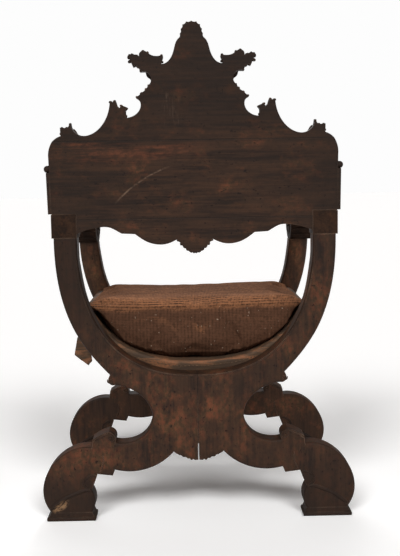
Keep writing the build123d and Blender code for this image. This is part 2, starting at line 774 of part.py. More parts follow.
def knob(grow, with_head):
    """The turned knob above the left strip, with its peg in the end of the panel."""
    height = cheek_height + knob_radius
    z = armrest_top + height
    base = end_x(height + knob_radius) + fit_gap
    peg = rod_x(base - knob_peg_length - grow, base, board_middle, z, knob_peg_radius + grow)
    if not with_head:
        return peg
    neck = rod_x(base, base + knob_length - knob_radius, board_middle, z, knob_radius)
    ball = Pos(base + knob_length - knob_radius, board_middle, z) * Sphere(knob_radius)
    ball = ball & rod_x(base, base + knob_length, board_middle, z, knob_radius)
    return peg + neck + ball


def panel_moulding():
    """A raised moulding round the front of the panel, mitred and glued into one frame."""
    width = 2 * (panel_bottom_half_width - moulding_margin_x)
    height = crest_seam - armrest_top - 2 * moulding_margin_z
    middle = Pos(0, (crest_seam + armrest_top) / 2)
    outer = middle * Rectangle(width, height)
    inner = middle * Rectangle(width - 2 * moulding_width, height - 2 * moulding_width)
    return upright(outer - inner, board_front, moulding_thickness)


def cartouche():
    """Oval boss on the front of the crest, with a raised rim."""
    z = crest_seam + cartouche_height
    plate = upright(Pos(0, z) * Ellipse(cartouche_half_width, cartouche_half_height),
                    board_front, cartouche_thickness)
    field = upright(Pos(0, z) * Ellipse(cartouche_half_width - cartouche_rim,
                                        cartouche_half_height - cartouche_rim),
                    board_front - cartouche_thickness + cartouche_sink, cartouche_sink)
    return plate - field


def roundel():
    """Petalled boss over the crossing, with its peg in the front frame."""
    z = waist_z
    disc = rod_y(0, front_face - roundel_disc_thickness, front_face, z, roundel_radius)
    flower = rod_y(0, front_face - roundel_eye_thickness, front_face, z, roundel_eye_radius)
    for i in range(roundel_petals):
        angle = 2 * math.pi * i / roundel_petals
        x = petal_circle_radius * math.cos(angle)
        dz = petal_circle_radius * math.sin(angle)
        flower += rod_y(x, front_face - petal_thickness, front_face, z + dz, petal_radius)
    peg = rod_y(0, front_face, front_face + roundel_peg_length, z, roundel_peg_radius)
    return disc + flower + peg


# --- the chair, node by node ------------------------------------------------

def cut_rear_half():
    half = frame_half(rear_middle, rear_arm_top, armrest_tenon_y()[0])
    half -= back_socket()
    half -= armrest_pegs_left(fit_gap)[0]
    return half - stretcher_pieces(fit_gap)[1] - rail_pieces(fit_gap)[1]


def cut_front_half():
    half = frame_half(front_middle, front_arm_top, armrest_tenon_y()[1])
    half -= armrest_pegs_left(fit_gap)[1]
    half -= rod_y(0, front_face - cutter_margin, front_face + roundel_peg_length + fit_gap,
                  waist_z, roundel_peg_radius + fit_gap)
    return half - stretcher_pieces(fit_gap)[1] - rail_pieces(fit_gap)[1]


def with_nail_holes(shape):
    for y, point in nail_places():
        shape -= nail(y, point, False)
    return shape


def cut_panel():
    panel = board(panel_face())
    for dowel in board_dowels(crest_seam, crest_dowel_places(), fit_gap):
        panel -= dowel
    for dowel in board_dowels(valance_seam, valance_dowel_places(), fit_gap):
        panel -= dowel
    mortise = tongue_box(fit_gap, armrest_top - cutter_margin,
                         armrest_top + tongue_above + fit_gap)
    side_holes = [mortise, knob(fit_gap, False)] + cheek_nails(False)
    for hole in side_holes:
        panel -= hole
        panel -= mirrored(hole)
    return panel


def cut_board(face, seam, places):
    shape = board(face)
    for dowel in board_dowels(seam, places, fit_gap):
        shape -= dowel
    return shape


def build():
    nodes = {}

    def pair(name, left):
        nodes[name + "_left"] = [left]
        nodes[name + "_right"] = [mirrored(left)]

    pair("rear_frame", cut_rear_half())
    pair("front_frame", cut_front_half())
    nodes["rear_seam_dowels"] = seam_dowels(rear_middle)
    nodes["front_seam_dowels"] = seam_dowels(front_middle)
    pair("foot_rear", foot_pad(rear_middle))
    pair("foot_front", foot_pad(front_middle))
    nodes["foot_dowels"] = foot_dowels()
    body, tenon = stretcher_pieces(0)
    nodes["centre_stretcher"] = [body + tenon]
    nodes["front_roundel"] = [roundel()]

    pair("armrest", armrest())
    pegs = armrest_pegs_left(0)
    nodes["armrest_pegs"] = pegs + [mirrored(peg) for peg in pegs]

    pair("seat_rail", with_nail_holes(seat_rail()))
    leather = with_nail_holes(sling())
    nodes["seat_sling"] = [mirrored(with_nail_holes(mirrored(leather)))]
    nodes["sling_flap"] = [flap()]
    nails = [nail(y, point, True) for y, point in nail_places()]
    nodes["sling_nails_left"] = nails
    nodes["sling_nails_right"] = [mirrored(n) for n in nails]
    nodes["seat_cushion"] = [cushion()]

    nodes["back_panel"] = [cut_panel()]
    nodes["crest_board"] = [cut_board(crest_face(), crest_seam, crest_dowel_places())]
    nodes["valance_board"] = [cut_board(valance_face(), valance_seam, valance_dowel_places())]
    nodes["crest_dowels"] = board_dowels(crest_seam, crest_dowel_places())
    nodes["valance_dowels"] = board_dowels(valance_seam, valance_dowel_places())
    pair("back_tongue", back_tongue())
    strip = cheek()
    for hole in cheek_nails(False):
        strip -= hole
    pair("cheek", strip)
    left_nails = cheek_nails(True)
    nodes["cheek_nails"] = left_nails + [mirrored(n) for n in left_nails]
    nodes["back_knobs"] = [knob(0, True), mirrored(knob(0, True))]
    nodes["panel_moulding"] = [panel_moulding()]
    nodes["crest_cartouche"] = [cartouche()]
    return nodes


os.makedirs("parts", exist_ok=True)
for name, shapes in build().items():
    solids = [solid for shape in shapes for solid in shape.solids()]
    piece = solids[0] if len(solids) == 1 else Compound(children=solids)
    export_step(piece, f"parts/{name}.step")
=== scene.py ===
import bpy
import bmesh
import math
import numpy as np
from mathutils import Matrix, Vector, noise


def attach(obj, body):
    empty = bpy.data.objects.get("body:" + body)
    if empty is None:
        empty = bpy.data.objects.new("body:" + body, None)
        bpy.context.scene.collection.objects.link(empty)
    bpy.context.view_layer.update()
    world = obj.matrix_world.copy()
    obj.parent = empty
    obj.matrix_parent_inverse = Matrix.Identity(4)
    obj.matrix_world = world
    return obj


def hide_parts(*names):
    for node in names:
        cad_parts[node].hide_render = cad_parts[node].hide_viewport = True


# Savonarola armchair in dark waxed walnut, with a leather sling and a loose cushion.
# Metres; Z is up, the chair faces -Y and +X is the sitter's left.

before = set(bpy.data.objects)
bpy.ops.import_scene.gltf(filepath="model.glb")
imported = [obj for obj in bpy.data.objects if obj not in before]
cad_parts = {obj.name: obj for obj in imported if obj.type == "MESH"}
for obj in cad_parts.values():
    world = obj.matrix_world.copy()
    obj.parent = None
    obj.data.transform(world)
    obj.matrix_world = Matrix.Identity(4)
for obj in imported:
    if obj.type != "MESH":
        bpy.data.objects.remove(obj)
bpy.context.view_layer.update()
print("frame loaded:", len(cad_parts), "nodes")

mm = 0.001

# the bowl of the arms, which the sling, the cushion and the carving all follow
bowl = {
    "halfWidth": 0.245, "bottom": 0.315, "rise": 0.291, "squareness": 2.4,
    "rearY": 0.250, "frontInnerY": -0.186, "frontY": -0.230,
}


def bowlX(z, halfWidth=bowl["halfWidth"], bottom=bowl["bottom"], rise=bowl["rise"]):
    depth = max(0.0, 1 - (z - bottom) / rise)
    return halfWidth * (1 - depth ** bowl["squareness"]) ** (1 / bowl["squareness"])


def bowlPoint(z, inset):
    # a point in X and Z, inset square to the arm's inner edge, with the edge's two directions
    step = 0.0005
    along = Vector((bowlX(z + step) - bowlX(z - step), 2 * step)).normalized()
    outward = Vector((along.y, -along.x))
    return Vector((bowlX(z), z)) + outward * inset, along, outward


def clamped(value):
    return max(0.0, min(1.0, value))


# materials

def linearColour(hexText):
    # sRGB hex to the linear values that the shaders take
    parts = [int(hexText[i:i + 2], 16) / 255 for i in (0, 2, 4)]
    return [p / 12.92 if p <= 0.04045 else ((p + 0.055) / 1.055) ** 2.4 for p in parts] + [1.0]


def addNode(tree, kind, links=None, **settings):
    # one node, its properties from the keywords and its sockets from the dictionary
    node = tree.nodes.new(kind)
    for name, value in settings.items():
        setattr(node, name, value)
    for key, value in (links or {}).items():
        socket = node.inputs[key]
        if isinstance(value, bpy.types.NodeSocket):
            tree.links.new(value, socket)
        else:
            socket.default_value = value
    return node


def startMaterial(name):
    material = bpy.data.materials.new(name)
    material.use_nodes = True
    material.node_tree.nodes.clear()
    return material, material.node_tree


def finishMaterial(tree, surface, height=None, distance=0.0, strength=0.5):
    # the shader takes the surface's values, and the height stands up by the distance
    if height is not None:
        bump = addNode(tree, "ShaderNodeBump", {
            "Height": height, "Distance": distance, "Strength": strength})
        surface = {**surface, "Normal": bump.outputs["Normal"]}
    shader = addNode(tree, "ShaderNodeBsdfPrincipled", surface)
    addNode(tree, "ShaderNodeOutputMaterial", {"Surface": shader.outputs["BSDF"]})


def patternAt(tree, size, **settings):
    # noise on object coordinates, with its grain size in millimetres along X, Y and Z
    place = addNode(tree, "ShaderNodeTexCoord").outputs["Object"]
    scaled = addNode(tree, "ShaderNodeMapping", {
        "Vector": place, "Scale": [1 / (s * mm) for s in size]}).outputs["Vector"]
    return addNode(tree, "ShaderNodeTexNoise", {
        "Vector": scaled, "Scale": 1.0, **settings}).outputs["Fac"]


def placeAxes(tree):
    place = addNode(tree, "ShaderNodeTexCoord").outputs["Object"]
    return addNode(tree, "ShaderNodeSeparateXYZ", {"Vector": place}).outputs


def together(tree, *parts, how="MULTIPLY"):
    # values taken as one, where a part (value, from, to, least, most) is a smooth step
    total = None
    for part in parts:
        if isinstance(part, tuple):
            value, low, high, *ends = part
            least, most = ends or (0.0, 1.0)
            part = addNode(tree, "ShaderNodeMapRange", {
                "Value": value, "From Min": low, "From Max": high, "To Min": least,
                "To Max": most}, interpolation_type="SMOOTHSTEP").outputs["Result"]
        total = part if total is None else addNode(
            tree, "ShaderNodeMath", {0: total, 1: part}, operation=how).outputs[0]
    return total


def coat(tree, under, over, *parts):
    # one colour laid over another, as thick as all the parts together say
    under, over = (linearColour(c) if isinstance(c, str) else c for c in (under, over))
    return addNode(tree, "ShaderNodeMix", {0: together(tree, *parts), 6: under, 7: over},
                   data_type="RGBA").outputs[2]


def lineAt(tree, value, centre, halfWidth):
    # a part that is 1 on a thin line where the value is near the centre
    away = addNode(tree, "ShaderNodeMath", {0: together(tree, value, centre, how="SUBTRACT")},
                   operation="ABSOLUTE").outputs[0]
    return away, halfWidth * 0.4, halfWidth, 1.0, 0.0


def bendNear(tree, radius):
    # 1 on a flat face, and less where the surface turns within the radius
    rounded = addNode(tree, "ShaderNodeBevel", {"Radius": radius}, samples=4)
    flat = addNode(tree, "ShaderNodeNewGeometry")
    return addNode(tree, "ShaderNodeVectorMath", {
        0: rounded.outputs[0], 1: flat.outputs["Normal"]},
        operation="DOT_PRODUCT").outputs["Value"]


# Walnut, sawn, hand carved and waxed, then worn: a close umber with a faint figure, rubbed back
# to orange-brown in patches, paler on the arrises where worn and where a highlight is painted, and
# spotted with wormholes and stain.
walnut = {
    "dark": "201712", "mid": "332319", "light": "472f20", "rubbed": "61482f", "rust": "70402a",
    "spot": "130d0a", "arris": "77604e", "bare": "a5805c",
    "grainWidth": 4.0,          # real pores are under 1 mm, drawn coarser so that they show
    "grainLength": 90.0, "figureWidth": 30.0, "figureLength": 210.0,
    "mottleSize": 9.0, "patchSize": 62.0, "spotSize": 6.0,
    # where each pattern starts and ends to show: from, to, least, most
    "figureShows": (0.32, 0.68), "grainShows": (0.40, 0.70), "rustShows": (0.38, 0.60),
    "rubbedThin": (0.30, 0.66, 0.50, 0.90), "mottleShows": (0.52, 0.34),
    "spotShows": (0.66, 0.72, 0.0, 0.8),
    # a darker band along the edges, painted shade with some wax in it
    "waxAndShadeNear": 0.014, "waxAndShadeBend": (0.998, 0.90), "waxAndShadeThin": (0.35, 0.62, 0.35, 0.70),
    # a pale line on the arrises, partly wear and partly a painted highlight
    "wearAndHighlightNear": 0.003, "wearAndHighlightBend": (0.99, 0.88), "seamHalf": 0.0011,
}
# wear and darker parts on the rear frame: from and to in metres, then least and most
rearWear = {
    "rubbedFrom": (0.01, 0.11), "rubbedTo": (0.46, 0.32, 0.25, 1.0),
    "rightArm": (0.05, -0.15, 0.25, 0.75),
    "rightLeg": (-0.20, -0.05, 0.5, 1.0), "overLegs": (0.28, 0.36),
    "darkArmFrom": (0.34, 0.50, 0.0, 0.65), "leftSide": (-0.05, 0.10), "darkerLow": (0.17, 0.06, 0.0, 0.5),
}
frontDarkening = {"darkerLow": (0.34, 0.25, 0.0, 0.42)}
# a knock on the left rear foot, in streaks along the fold of the calf
knock = {"centre": (0.297, 0.250, 0.032), "turn": -37, "size": (0.024, 0.03, 0.011), "streaks": 2.2}
# the back in metres, with a long shallow scratch that is part of a circle in X and Z
backWearAndShade = {
    # painted shade: darker up on the crest and out at the ends of the boards
    "shadeUp": (0.77, 0.86, 0.0, 0.55), "shadeOut": (0.12, 0.30, 0.0, 0.4),
    "thinFrom": (0.748, 0.778), "thinTo": (0.8035, 0.797), "thinSide": (-0.06, 0.05),
    "scuffLeft": (0.018, 0.030), "scuffRight": (0.068, 0.056),
    "scuffFrom": (0.822, 0.845), "scuffTo": (0.912, 0.890),
    "scratchAt": (-0.0426, 0.4847), "scratchRadius": 0.2814, "scratchHalf": 0.0022,
    "scratchFrom": (0.045, 0.075), "scratchTo": (0.169, 0.139), "rearOnly": (0.247, 0.249),
}


def markRear(tree, colour, speckle, x, y, z):
    w = rearWear
    # the upper part of the left arm is darker
    colour = coat(tree, colour, walnut["dark"], (z, *w["darkArmFrom"]), (x, *w["leftSide"]))
    # darker towards the floor
    colour = coat(tree, colour, walnut["dark"], (z, *w["darkerLow"]))
    place = addNode(tree, "ShaderNodeVectorMath", {
        0: addNode(tree, "ShaderNodeTexCoord").outputs["Object"], 1: knock["centre"]},
        operation="SUBTRACT").outputs[0]
    turned = addNode(tree, "ShaderNodeMapping", {
        "Vector": place, "Rotation": (0, math.radians(knock["turn"]), 0)}).outputs[0]
    sized = addNode(tree, "ShaderNodeVectorMath", {0: turned, 1: [1 / s for s in knock["size"]]},
                    operation="MULTIPLY").outputs[0]
    away = addNode(tree, "ShaderNodeVectorMath", {0: sized}, operation="LENGTH").outputs["Value"]
    streak = addNode(tree, "ShaderNodeTexNoise", {
        "Vector": sized, "Scale": knock["streaks"], "Detail": 5.0, "Roughness": 0.7}).outputs["Fac"]
    return coat(tree, colour, walnut["bare"], (away, 1.05, 0.45), (streak, 0.42, 0.56, 0.0, 0.5))


def markFront(tree, colour, speckle, x, y, z):
    # darker towards the floor
    return coat(tree, colour, walnut["dark"], (z, *frontDarkening["darkerLow"]))


def markBack(tree, colour, speckle, x, y, z):
    w = backWearAndShade
    # painted shade: the crest and the ends of the boards are coloured darker, where less light falls
    sideways = addNode(tree, "ShaderNodeMath", {0: x}, operation="ABSOLUTE").outputs[0]
    paintedShade = together(tree, (z, *w["shadeUp"]), (sideways, *w["shadeOut"]), how="MAXIMUM")
    colour = coat(tree, colour, walnut["dark"], paintedShade)
    # the wax has gone thin under the crest
    streak = patternAt(tree, [150, 40, 16], Detail=5.0, Roughness=0.65)
    colour = coat(tree, colour, walnut["rust"], (z, *w["thinFrom"]), (z, *w["thinTo"]),
                  (x, *w["thinSide"]), (streak, 0.45, 0.66, 0.0, 0.5), (speckle, 0.35, 0.60, 0.4, 1.0))
    # faint upright scuffs in the middle of the crest
    scuff = patternAt(tree, [4.5, 40, 26], Detail=5.0, Roughness=0.7)
    colour = coat(tree, colour, walnut["arris"], (scuff, 0.50, 0.66, 0.0, 0.16), (x, *w["scuffLeft"]),
                  (x, *w["scuffRight"]), (z, *w["scuffFrom"]), (z, *w["scuffTo"]))
    fromCentre = addNode(tree, "ShaderNodeCombineXYZ", {
        "X": together(tree, x, w["scratchAt"][0], how="SUBTRACT"),
        "Z": together(tree, z, w["scratchAt"][1], how="SUBTRACT")}).outputs[0]
    away = addNode(tree, "ShaderNodeVectorMath", {0: fromCentre}, operation="LENGTH").outputs["Value"]
    return coat(tree, colour, walnut["arris"],
                lineAt(tree, away, w["scratchRadius"], w["scratchHalf"]), (x, *w["scratchFrom"]),
                (x, *w["scratchTo"]), (speckle, 0.40, 0.62, 0.1, 0.55), (y, *w["rearOnly"]))


def waxedWalnut(name, grain, rubbedShare, streaks, mottle, arrisWearAndHighlight, paintedLight=1.0, shine=0.14,
                seams=(), middleSeam=False, rubbedLow=False, marks=None):
    material, tree = startMaterial(name)
    w = walnut

    def grown(across, along, **settings):
        # a pattern that runs along the grain
        return patternAt(tree, [along if axis == grain else across for axis in "XYZ"], **settings)

    fine = grown(w["grainWidth"], w["grainLength"], Detail=5.0, Roughness=0.62)
    figure = grown(w["figureWidth"], w["figureLength"], Detail=4.0, Distortion=0.9)
    patch = grown(w["patchSize"], w["patchSize"] * 1.4, Detail=7.0, Roughness=0.70)
    speckle = grown(w["mottleSize"], w["mottleSize"] * 1.5, Detail=4.0, Roughness=0.65)
    spots = grown(w["spotSize"], w["spotSize"] * 1.3, Detail=2.0)
    x, y, z = placeAxes(tree)

    colour = coat(tree, w["dark"], w["mid"], (figure, *w["figureShows"]))
    colour = coat(tree, colour, w["light"], (fine, *w["grainShows"], 0.0, streaks))
    rubbed = [(patch, 0.59 - rubbedShare, 0.92 - rubbedShare), (speckle, *w["rubbedThin"])]
    if rubbedLow:
        # most of the rubbing lies in a band over the feet, less on the right leg
        r = rearWear
        band = together(tree, (z, *r["rubbedFrom"]), (z, *r["rubbedTo"]))
        rubbed += [together(tree, band, (x, *r["rightArm"]), how="MAXIMUM"),
                   together(tree, (x, *r["rightLeg"]), (z, *r["overLegs"]), how="MAXIMUM")]
    worn = coat(tree, w["rubbed"], w["rust"], (speckle, *w["rustShows"]))
    colour = coat(tree, colour, worn, *rubbed)
    colour = coat(tree, colour, w["dark"], (speckle, *w["mottleShows"], 0.0, mottle))
    colour = coat(tree, colour, w["spot"], (spots, *w["spotShows"]))
    # a darker band along the edges: painted shade where the rounded forms turn away from the light,
    # with some wax
    colour = coat(tree, colour, w["dark"], (bendNear(tree, w["waxAndShadeNear"]), *w["waxAndShadeBend"]),
                  (speckle, *w["waxAndShadeThin"]))
    # arrises rubbed pale where hands and dusters reach, with a painted highlight on the same edges
    colour = coat(tree, colour, w["arris"], (bendNear(tree, w["wearAndHighlightNear"]), *w["wearAndHighlightBend"]),
                  (patch, 0.40, 0.64, 0.05, arrisWearAndHighlight))
    # painted light: a paler copy of the walnut, for parts the lamps leave darker than wanted
    if paintedLight != 1.0:
        colour = addNode(tree, "ShaderNodeHueSaturation", {
            "Color": colour, "Value": paintedLight}).outputs[0]
    if marks:
        colour = marks(tree, colour, speckle, x, y, z)
    depth = together(tree, together(tree, fine, 0.5), together(tree, speckle, 0.8), how="ADD")
    for line, centre in [(z, seam) for seam in seams] + ([(x, 0.0)] if middleSeam else []):
        joint = together(tree, lineAt(tree, line, centre, w["seamHalf"]))
        colour = coat(tree, colour, w["spot"], joint, 0.8)
        depth = together(tree, depth, joint, how="SUBTRACT")
    finishMaterial(tree, {
        "Base Color": colour, "Roughness": together(tree, (patch, 0.30, 0.70, 0.52, 0.72)),
        "Specular IOR Level": shine}, depth, 0.0006, 0.6)
    return material


# Vegetable-tanned hide, old and dry: dark brown with a dull shine, rubbed to rust at its creases.
leather = {"dark": "40332a", "mid": "5c4735", "rust": "8f5d40", "grainSize": 3.0, "creaseSize": 36.0}


def driedLeather(name):
    material, tree = startMaterial(name)
    s = leather
    grain = patternAt(tree, [s["grainSize"]] * 3, Detail=3.0)
    crease = patternAt(tree, [s["creaseSize"] * k for k in (2.5, 1, 0.35)],
                       Detail=5.0, Roughness=0.6, Distortion=0.5)
    colour = coat(tree, s["dark"], s["mid"], (crease, 0.28, 0.70))
    colour = coat(tree, colour, s["rust"], (crease, 0.48, 0.68, 0.0, 0.85),
                  (grain, 0.35, 0.60, 0.4, 1.0))
    height = together(tree, together(tree, grain, 0.5), crease, how="ADD")
    finishMaterial(tree, {
        "Base Color": colour, "Roughness": together(tree, (grain, 0.3, 0.7, 0.60, 0.82)),
        "Specular IOR Level": 0.15}, height, 0.0009, 0.7)
    return material


# Coarse hand-woven wool rep: thick ribs that run down the sides and across the top, flecked
# with pale lint, with no shine.
cloth = {
    # top: painted light, a paler colour for the top as if lit from above
    "thread": "553a2b", "hollow": "3c291e", "top": "9a6746", "lint": "b9a48f",
    "ribWidth": 7.5,            # real ribs are about 3 mm, drawn wider so that they show
    "weftWidth": 3.4, "lintSize": 4.2, "slubSize": 7,
}


def wovenWool(name):
    material, tree = startMaterial(name)
    s = cloth
    x, y, z = placeAxes(tree)
    facing = addNode(tree, "ShaderNodeSeparateXYZ", {
        "Vector": addNode(tree, "ShaderNodeNewGeometry").outputs["Normal"]}).outputs

    def threads(across, width):
        turns = together(tree, across, 2 * math.pi / (width * mm))
        return addNode(tree, "ShaderNodeMath", {0: turns}, operation="SINE").outputs[0]

    onTop = together(tree, (facing[2], 0.32, 1.0))
    # the ribs turn over the seam at the edge
    turned = together(tree, (facing[2], 0.60, 0.70))
    sideways = addNode(tree, "ShaderNodeMath", {0: facing[0]}, operation="ABSOLUTE").outputs[0]
    onTurn = together(tree, turned, (sideways, 0.6, 0.7), how="MAXIMUM")
    wander = together(tree, patternAt(tree, [45] * 3, Detail=3.0), (turned, 0.0, 1.0, 0.006, 0.003))
    # across the ribs: X on the rear and front, Y on the top and the sides
    across = addNode(tree, "ShaderNodeMix", {0: onTurn, 2: x, 3: y}, data_type="FLOAT").outputs[0]
    along = addNode(tree, "ShaderNodeMix", {0: turned, 2: z, 3: x}, data_type="FLOAT").outputs[0]
    ribs = threads(together(tree, across, wander, how="ADD"), s["ribWidth"])
    wefts = threads(along, s["weftWidth"])
    # the ribs are plain in some places and lost in others
    shown = together(tree, (patternAt(tree, [38, 38, 60], Detail=3.0), 0.35, 0.65, 0.04, 0.15),
                     (onTop, 0.0, 1.0, 1.0, 2.2))
    slub = patternAt(tree, [s["slubSize"]] * 3, Detail=5.0, Roughness=0.75)
    slub = together(tree, together(tree, slub, 0.5, how="SUBTRACT"), 1.6)
    weave = together(tree, together(tree, ribs, shown), together(tree, wefts, 0.12), 0.5, slub,
                     how="ADD")
    # painted light: the top is coloured paler than the sides, as if lit from above
    colour = coat(tree, s["thread"], s["top"], onTop)
    # painted shade in the hollows of the weave, between the ribs
    colour = coat(tree, colour, s["hollow"], (weave, 0.75, 0.1))
    faded = patternAt(tree, [130, 40, 70], Detail=5.0)
    colour = coat(tree, colour, s["hollow"], (faded, 0.35, 0.70, 0.0, 0.35))
    lint = patternAt(tree, [s["lintSize"] * k for k in (1, 1, 1.6)], Detail=1.0)
    colour = coat(tree, colour, s["lint"], (lint, 0.735, 0.775, 0.0, 0.45))
    finishMaterial(tree, {
        "Base Color": colour, "Roughness": 0.93, "Specular IOR Level": 0.05}, weave, 0.0012, 0.7)
    return material


def tarnishedMetal(name, bright, dull, metallic):
    # cast brass or wrought iron, gone dull: bright only where it is rubbed
    material, tree = startMaterial(name)
    film = patternAt(tree, [3, 3, 3], Detail=4.0)
    finishMaterial(tree, {
        "Base Color": coat(tree, dull, bright, (film, 0.38, 0.62)),
        "Roughness": together(tree, (film, 0.3, 0.7, 0.62, 0.32)),
        "Metallic": metallic}, film, 0.0002)
    return material


def unfinishedBeech(name):
    # riven pegs and dowels, never waxed: pale straw with fine flecks
    material, tree = startMaterial(name)
    fleck = patternAt(tree, [2, 2, 14], Detail=4.0)
    colour = coat(tree, "6e4e34", "8c6a48", (fleck, 0.35, 0.65))
    finishMaterial(tree, {"Base Color": colour, "Roughness": 0.75}, fleck, 0.0003)
    return material


def waxedThread(name):
    # linen thread, darkened by wax
    material, tree = startMaterial(name)
    twist = patternAt(tree, [1.5, 1.5, 1.5], Detail=2.0)
    colour = coat(tree, "3a2a1e", "6b5138", (twist, 0.35, 0.65))
    finishMaterial(tree, {"Base Color": colour, "Roughness": 0.8})
    return material


frameWalnut = waxedWalnut("waxedWalnutFrame", "Z", 0.20, 0.40, 0.30, 0.7, middleSeam=True,
                          rubbedLow=True, marks=markRear)
# painted light: the front frame is a paler copy of the rear frame's walnut, as if better lit
frontWalnutLit = waxedWalnut("waxedWalnutFrontFramePaintedLit", "Z", 0.14, 0.40, 0.30, 0.6, paintedLight=1.9,
                          middleSeam=True, marks=markFront)
boardWalnut = waxedWalnut("waxedWalnutBack", "X", 0.10, 0.50, 0.35, 0.45, seams=(0.8040, 0.6437),
                          marks=markBack)
# painted light: the carving is a paler copy of the walnut, so that it stands out as if lit
carvedWalnutLit = waxedWalnut("waxedWalnutCarvingPaintedLit", "X", 0.14, 0.40, 0.30, 0.9, paintedLight=1.45)
railWalnut = waxedWalnut("waxedWalnutRails", "Y", 0.0, 0.30, 0.35, 0.5, shine=0.07)
hide = driedLeather("driedHide")
wool = wovenWool("wovenWoolRep")
brass = tarnishedMetal("tarnishedBrass", "a07c3c", "4a3820", 1.0)
iron = tarnishedMetal("forgedIron", "3a3633", "1d1a18", 0.8)
beech = unfinishedBeech("unfinishedBeech")
thread = waxedThread("waxedThread")

# what each node's name starts with, and its finish; the boards of the back take what is left
finishes = (
    (("rear_frame", "foot_rear"), frameWalnut), (("front_frame", "foot_front"), frontWalnutLit),
    (("front_roundel",), carvedWalnutLit),
    (("armrest_left", "armrest_right", "seat_rail", "centre_stretcher"), railWalnut),
    (("sling_nails",), brass), (("cheek_nails",), iron),
    (("rear_seam", "front_seam", "foot_dowels", "crest_dowels", "valance_dowels", "armrest_pegs",
      "back_tongue"), beech),
    (("seat_sling", "sling_flap"), hide), (("seat_cushion",), wool),
)
for name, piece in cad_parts.items():
    piece.data.materials.clear()
    piece.data.materials.append(next(
        (finish for starts, finish in finishes if name.startswith(starts)), boardWalnut))
print("materials made and put on the frame")


# mesh helpers

def pieceFrom(name, bm, material):
    bmesh.ops.remove_doubles(bm, verts=bm.verts, dist=1e-6)
    bmesh.ops.recalc_face_normals(bm, faces=bm.faces)
    mesh = bpy.data.meshes.new(name)
    bm.to_mesh(mesh)
    bm.free()
    for face in mesh.polygons:
        face.use_smooth = True
    mesh.materials.append(material)
    piece = bpy.data.objects.new(name, mesh)
    bpy.context.scene.collection.objects.link(piece)
    return piece


def settle(piece):
    # the evaluated shape becomes the piece's plain mesh, with no modifier left
    graph = bpy.context.evaluated_depsgraph_get()
    graph.update()
    mesh = bpy.data.meshes.new_from_object(piece.evaluated_get(graph), depsgraph=graph)
    piece.modifiers.clear()
    old = piece.data
    piece.data = mesh
    mesh.name = piece.name
    bpy.data.meshes.remove(old)
    return piece


def thickened(piece, thickness):
    wall = piece.modifiers.new("wall", "SOLIDIFY")
    wall.thickness = thickness
    wall.offset = 0.0
    return settle(piece)


def skin(bm, rows, closed=True):
    # faces from row to row, round and capped when closed, and otherwise as an open sheet
    for a, b in zip(rows, rows[1:]):
        for k in range(len(a) if closed else len(a) - 1):
            n = (k + 1) % len(a)
            bm.faces.new((a[k], a[n], b[n], b[k]))
    if closed:
        bm.faces.new(rows[0])
        bm.faces.new(list(reversed(rows[-1])))


def pointsOf(piece):
    places = np.empty(len(piece.data.vertices) * 3)
    piece.data.vertices.foreach_get("co", places)
    return places.reshape(-1, 3)


def lengthOf(points):
    return sum((Vector(b) - Vector(a)).length for a, b in zip(points, points[1:]))


def resampled(points, count):
    # the same path with evenly spaced points
    points = [Vector(p) for p in points]
    lengths = [0.0]
    for a, b in zip(points, points[1:]):
        lengths.append(lengths[-1] + (b - a).length)
    result = []
    k = 0
    for i in range(count):
        target = lengths[-1] * i / (count - 1)
        while k < len(points) - 2 and lengths[k + 1] < target:
            k += 1
        span = lengths[k + 1] - lengths[k]
        t = 0 if span == 0 else (target - lengths[k]) / span
        result.append(points[k].lerp(points[k + 1], min(1.0, t)))
    return result


def curved(points, perSpan=8):
    # a smooth path through every point
    points = [Vector(p) for p in points]
    padded = [2 * points[0] - points[1]] + points + [2 * points[-1] - points[-2]]
    result = []
    for a, b, c, d in zip(padded, padded[1:], padded[2:], padded[3:]):
        for i in range(perSpan):
            t = i / perSpan
            result.append(0.5 * (2 * b + (c - a) * t + (2 * a - 5 * b + 4 * c - d) * t * t
                                 + (3 * b - a - 3 * c + d) * t ** 3))
    return result + [points[-1]]


def alongPath(path):
    # each point with its share of the way and the direction across the path
    last = len(path) - 1
    for i, point in enumerate(path):
        ahead = (path[min(last, i + 1)] - path[max(0, i - 1)]).normalized()
        yield i / last, point, Vector((-ahead.y, ahead.x))


# Beads, coins and stitches that follow a path: evenly spaced balls, squashed to size.

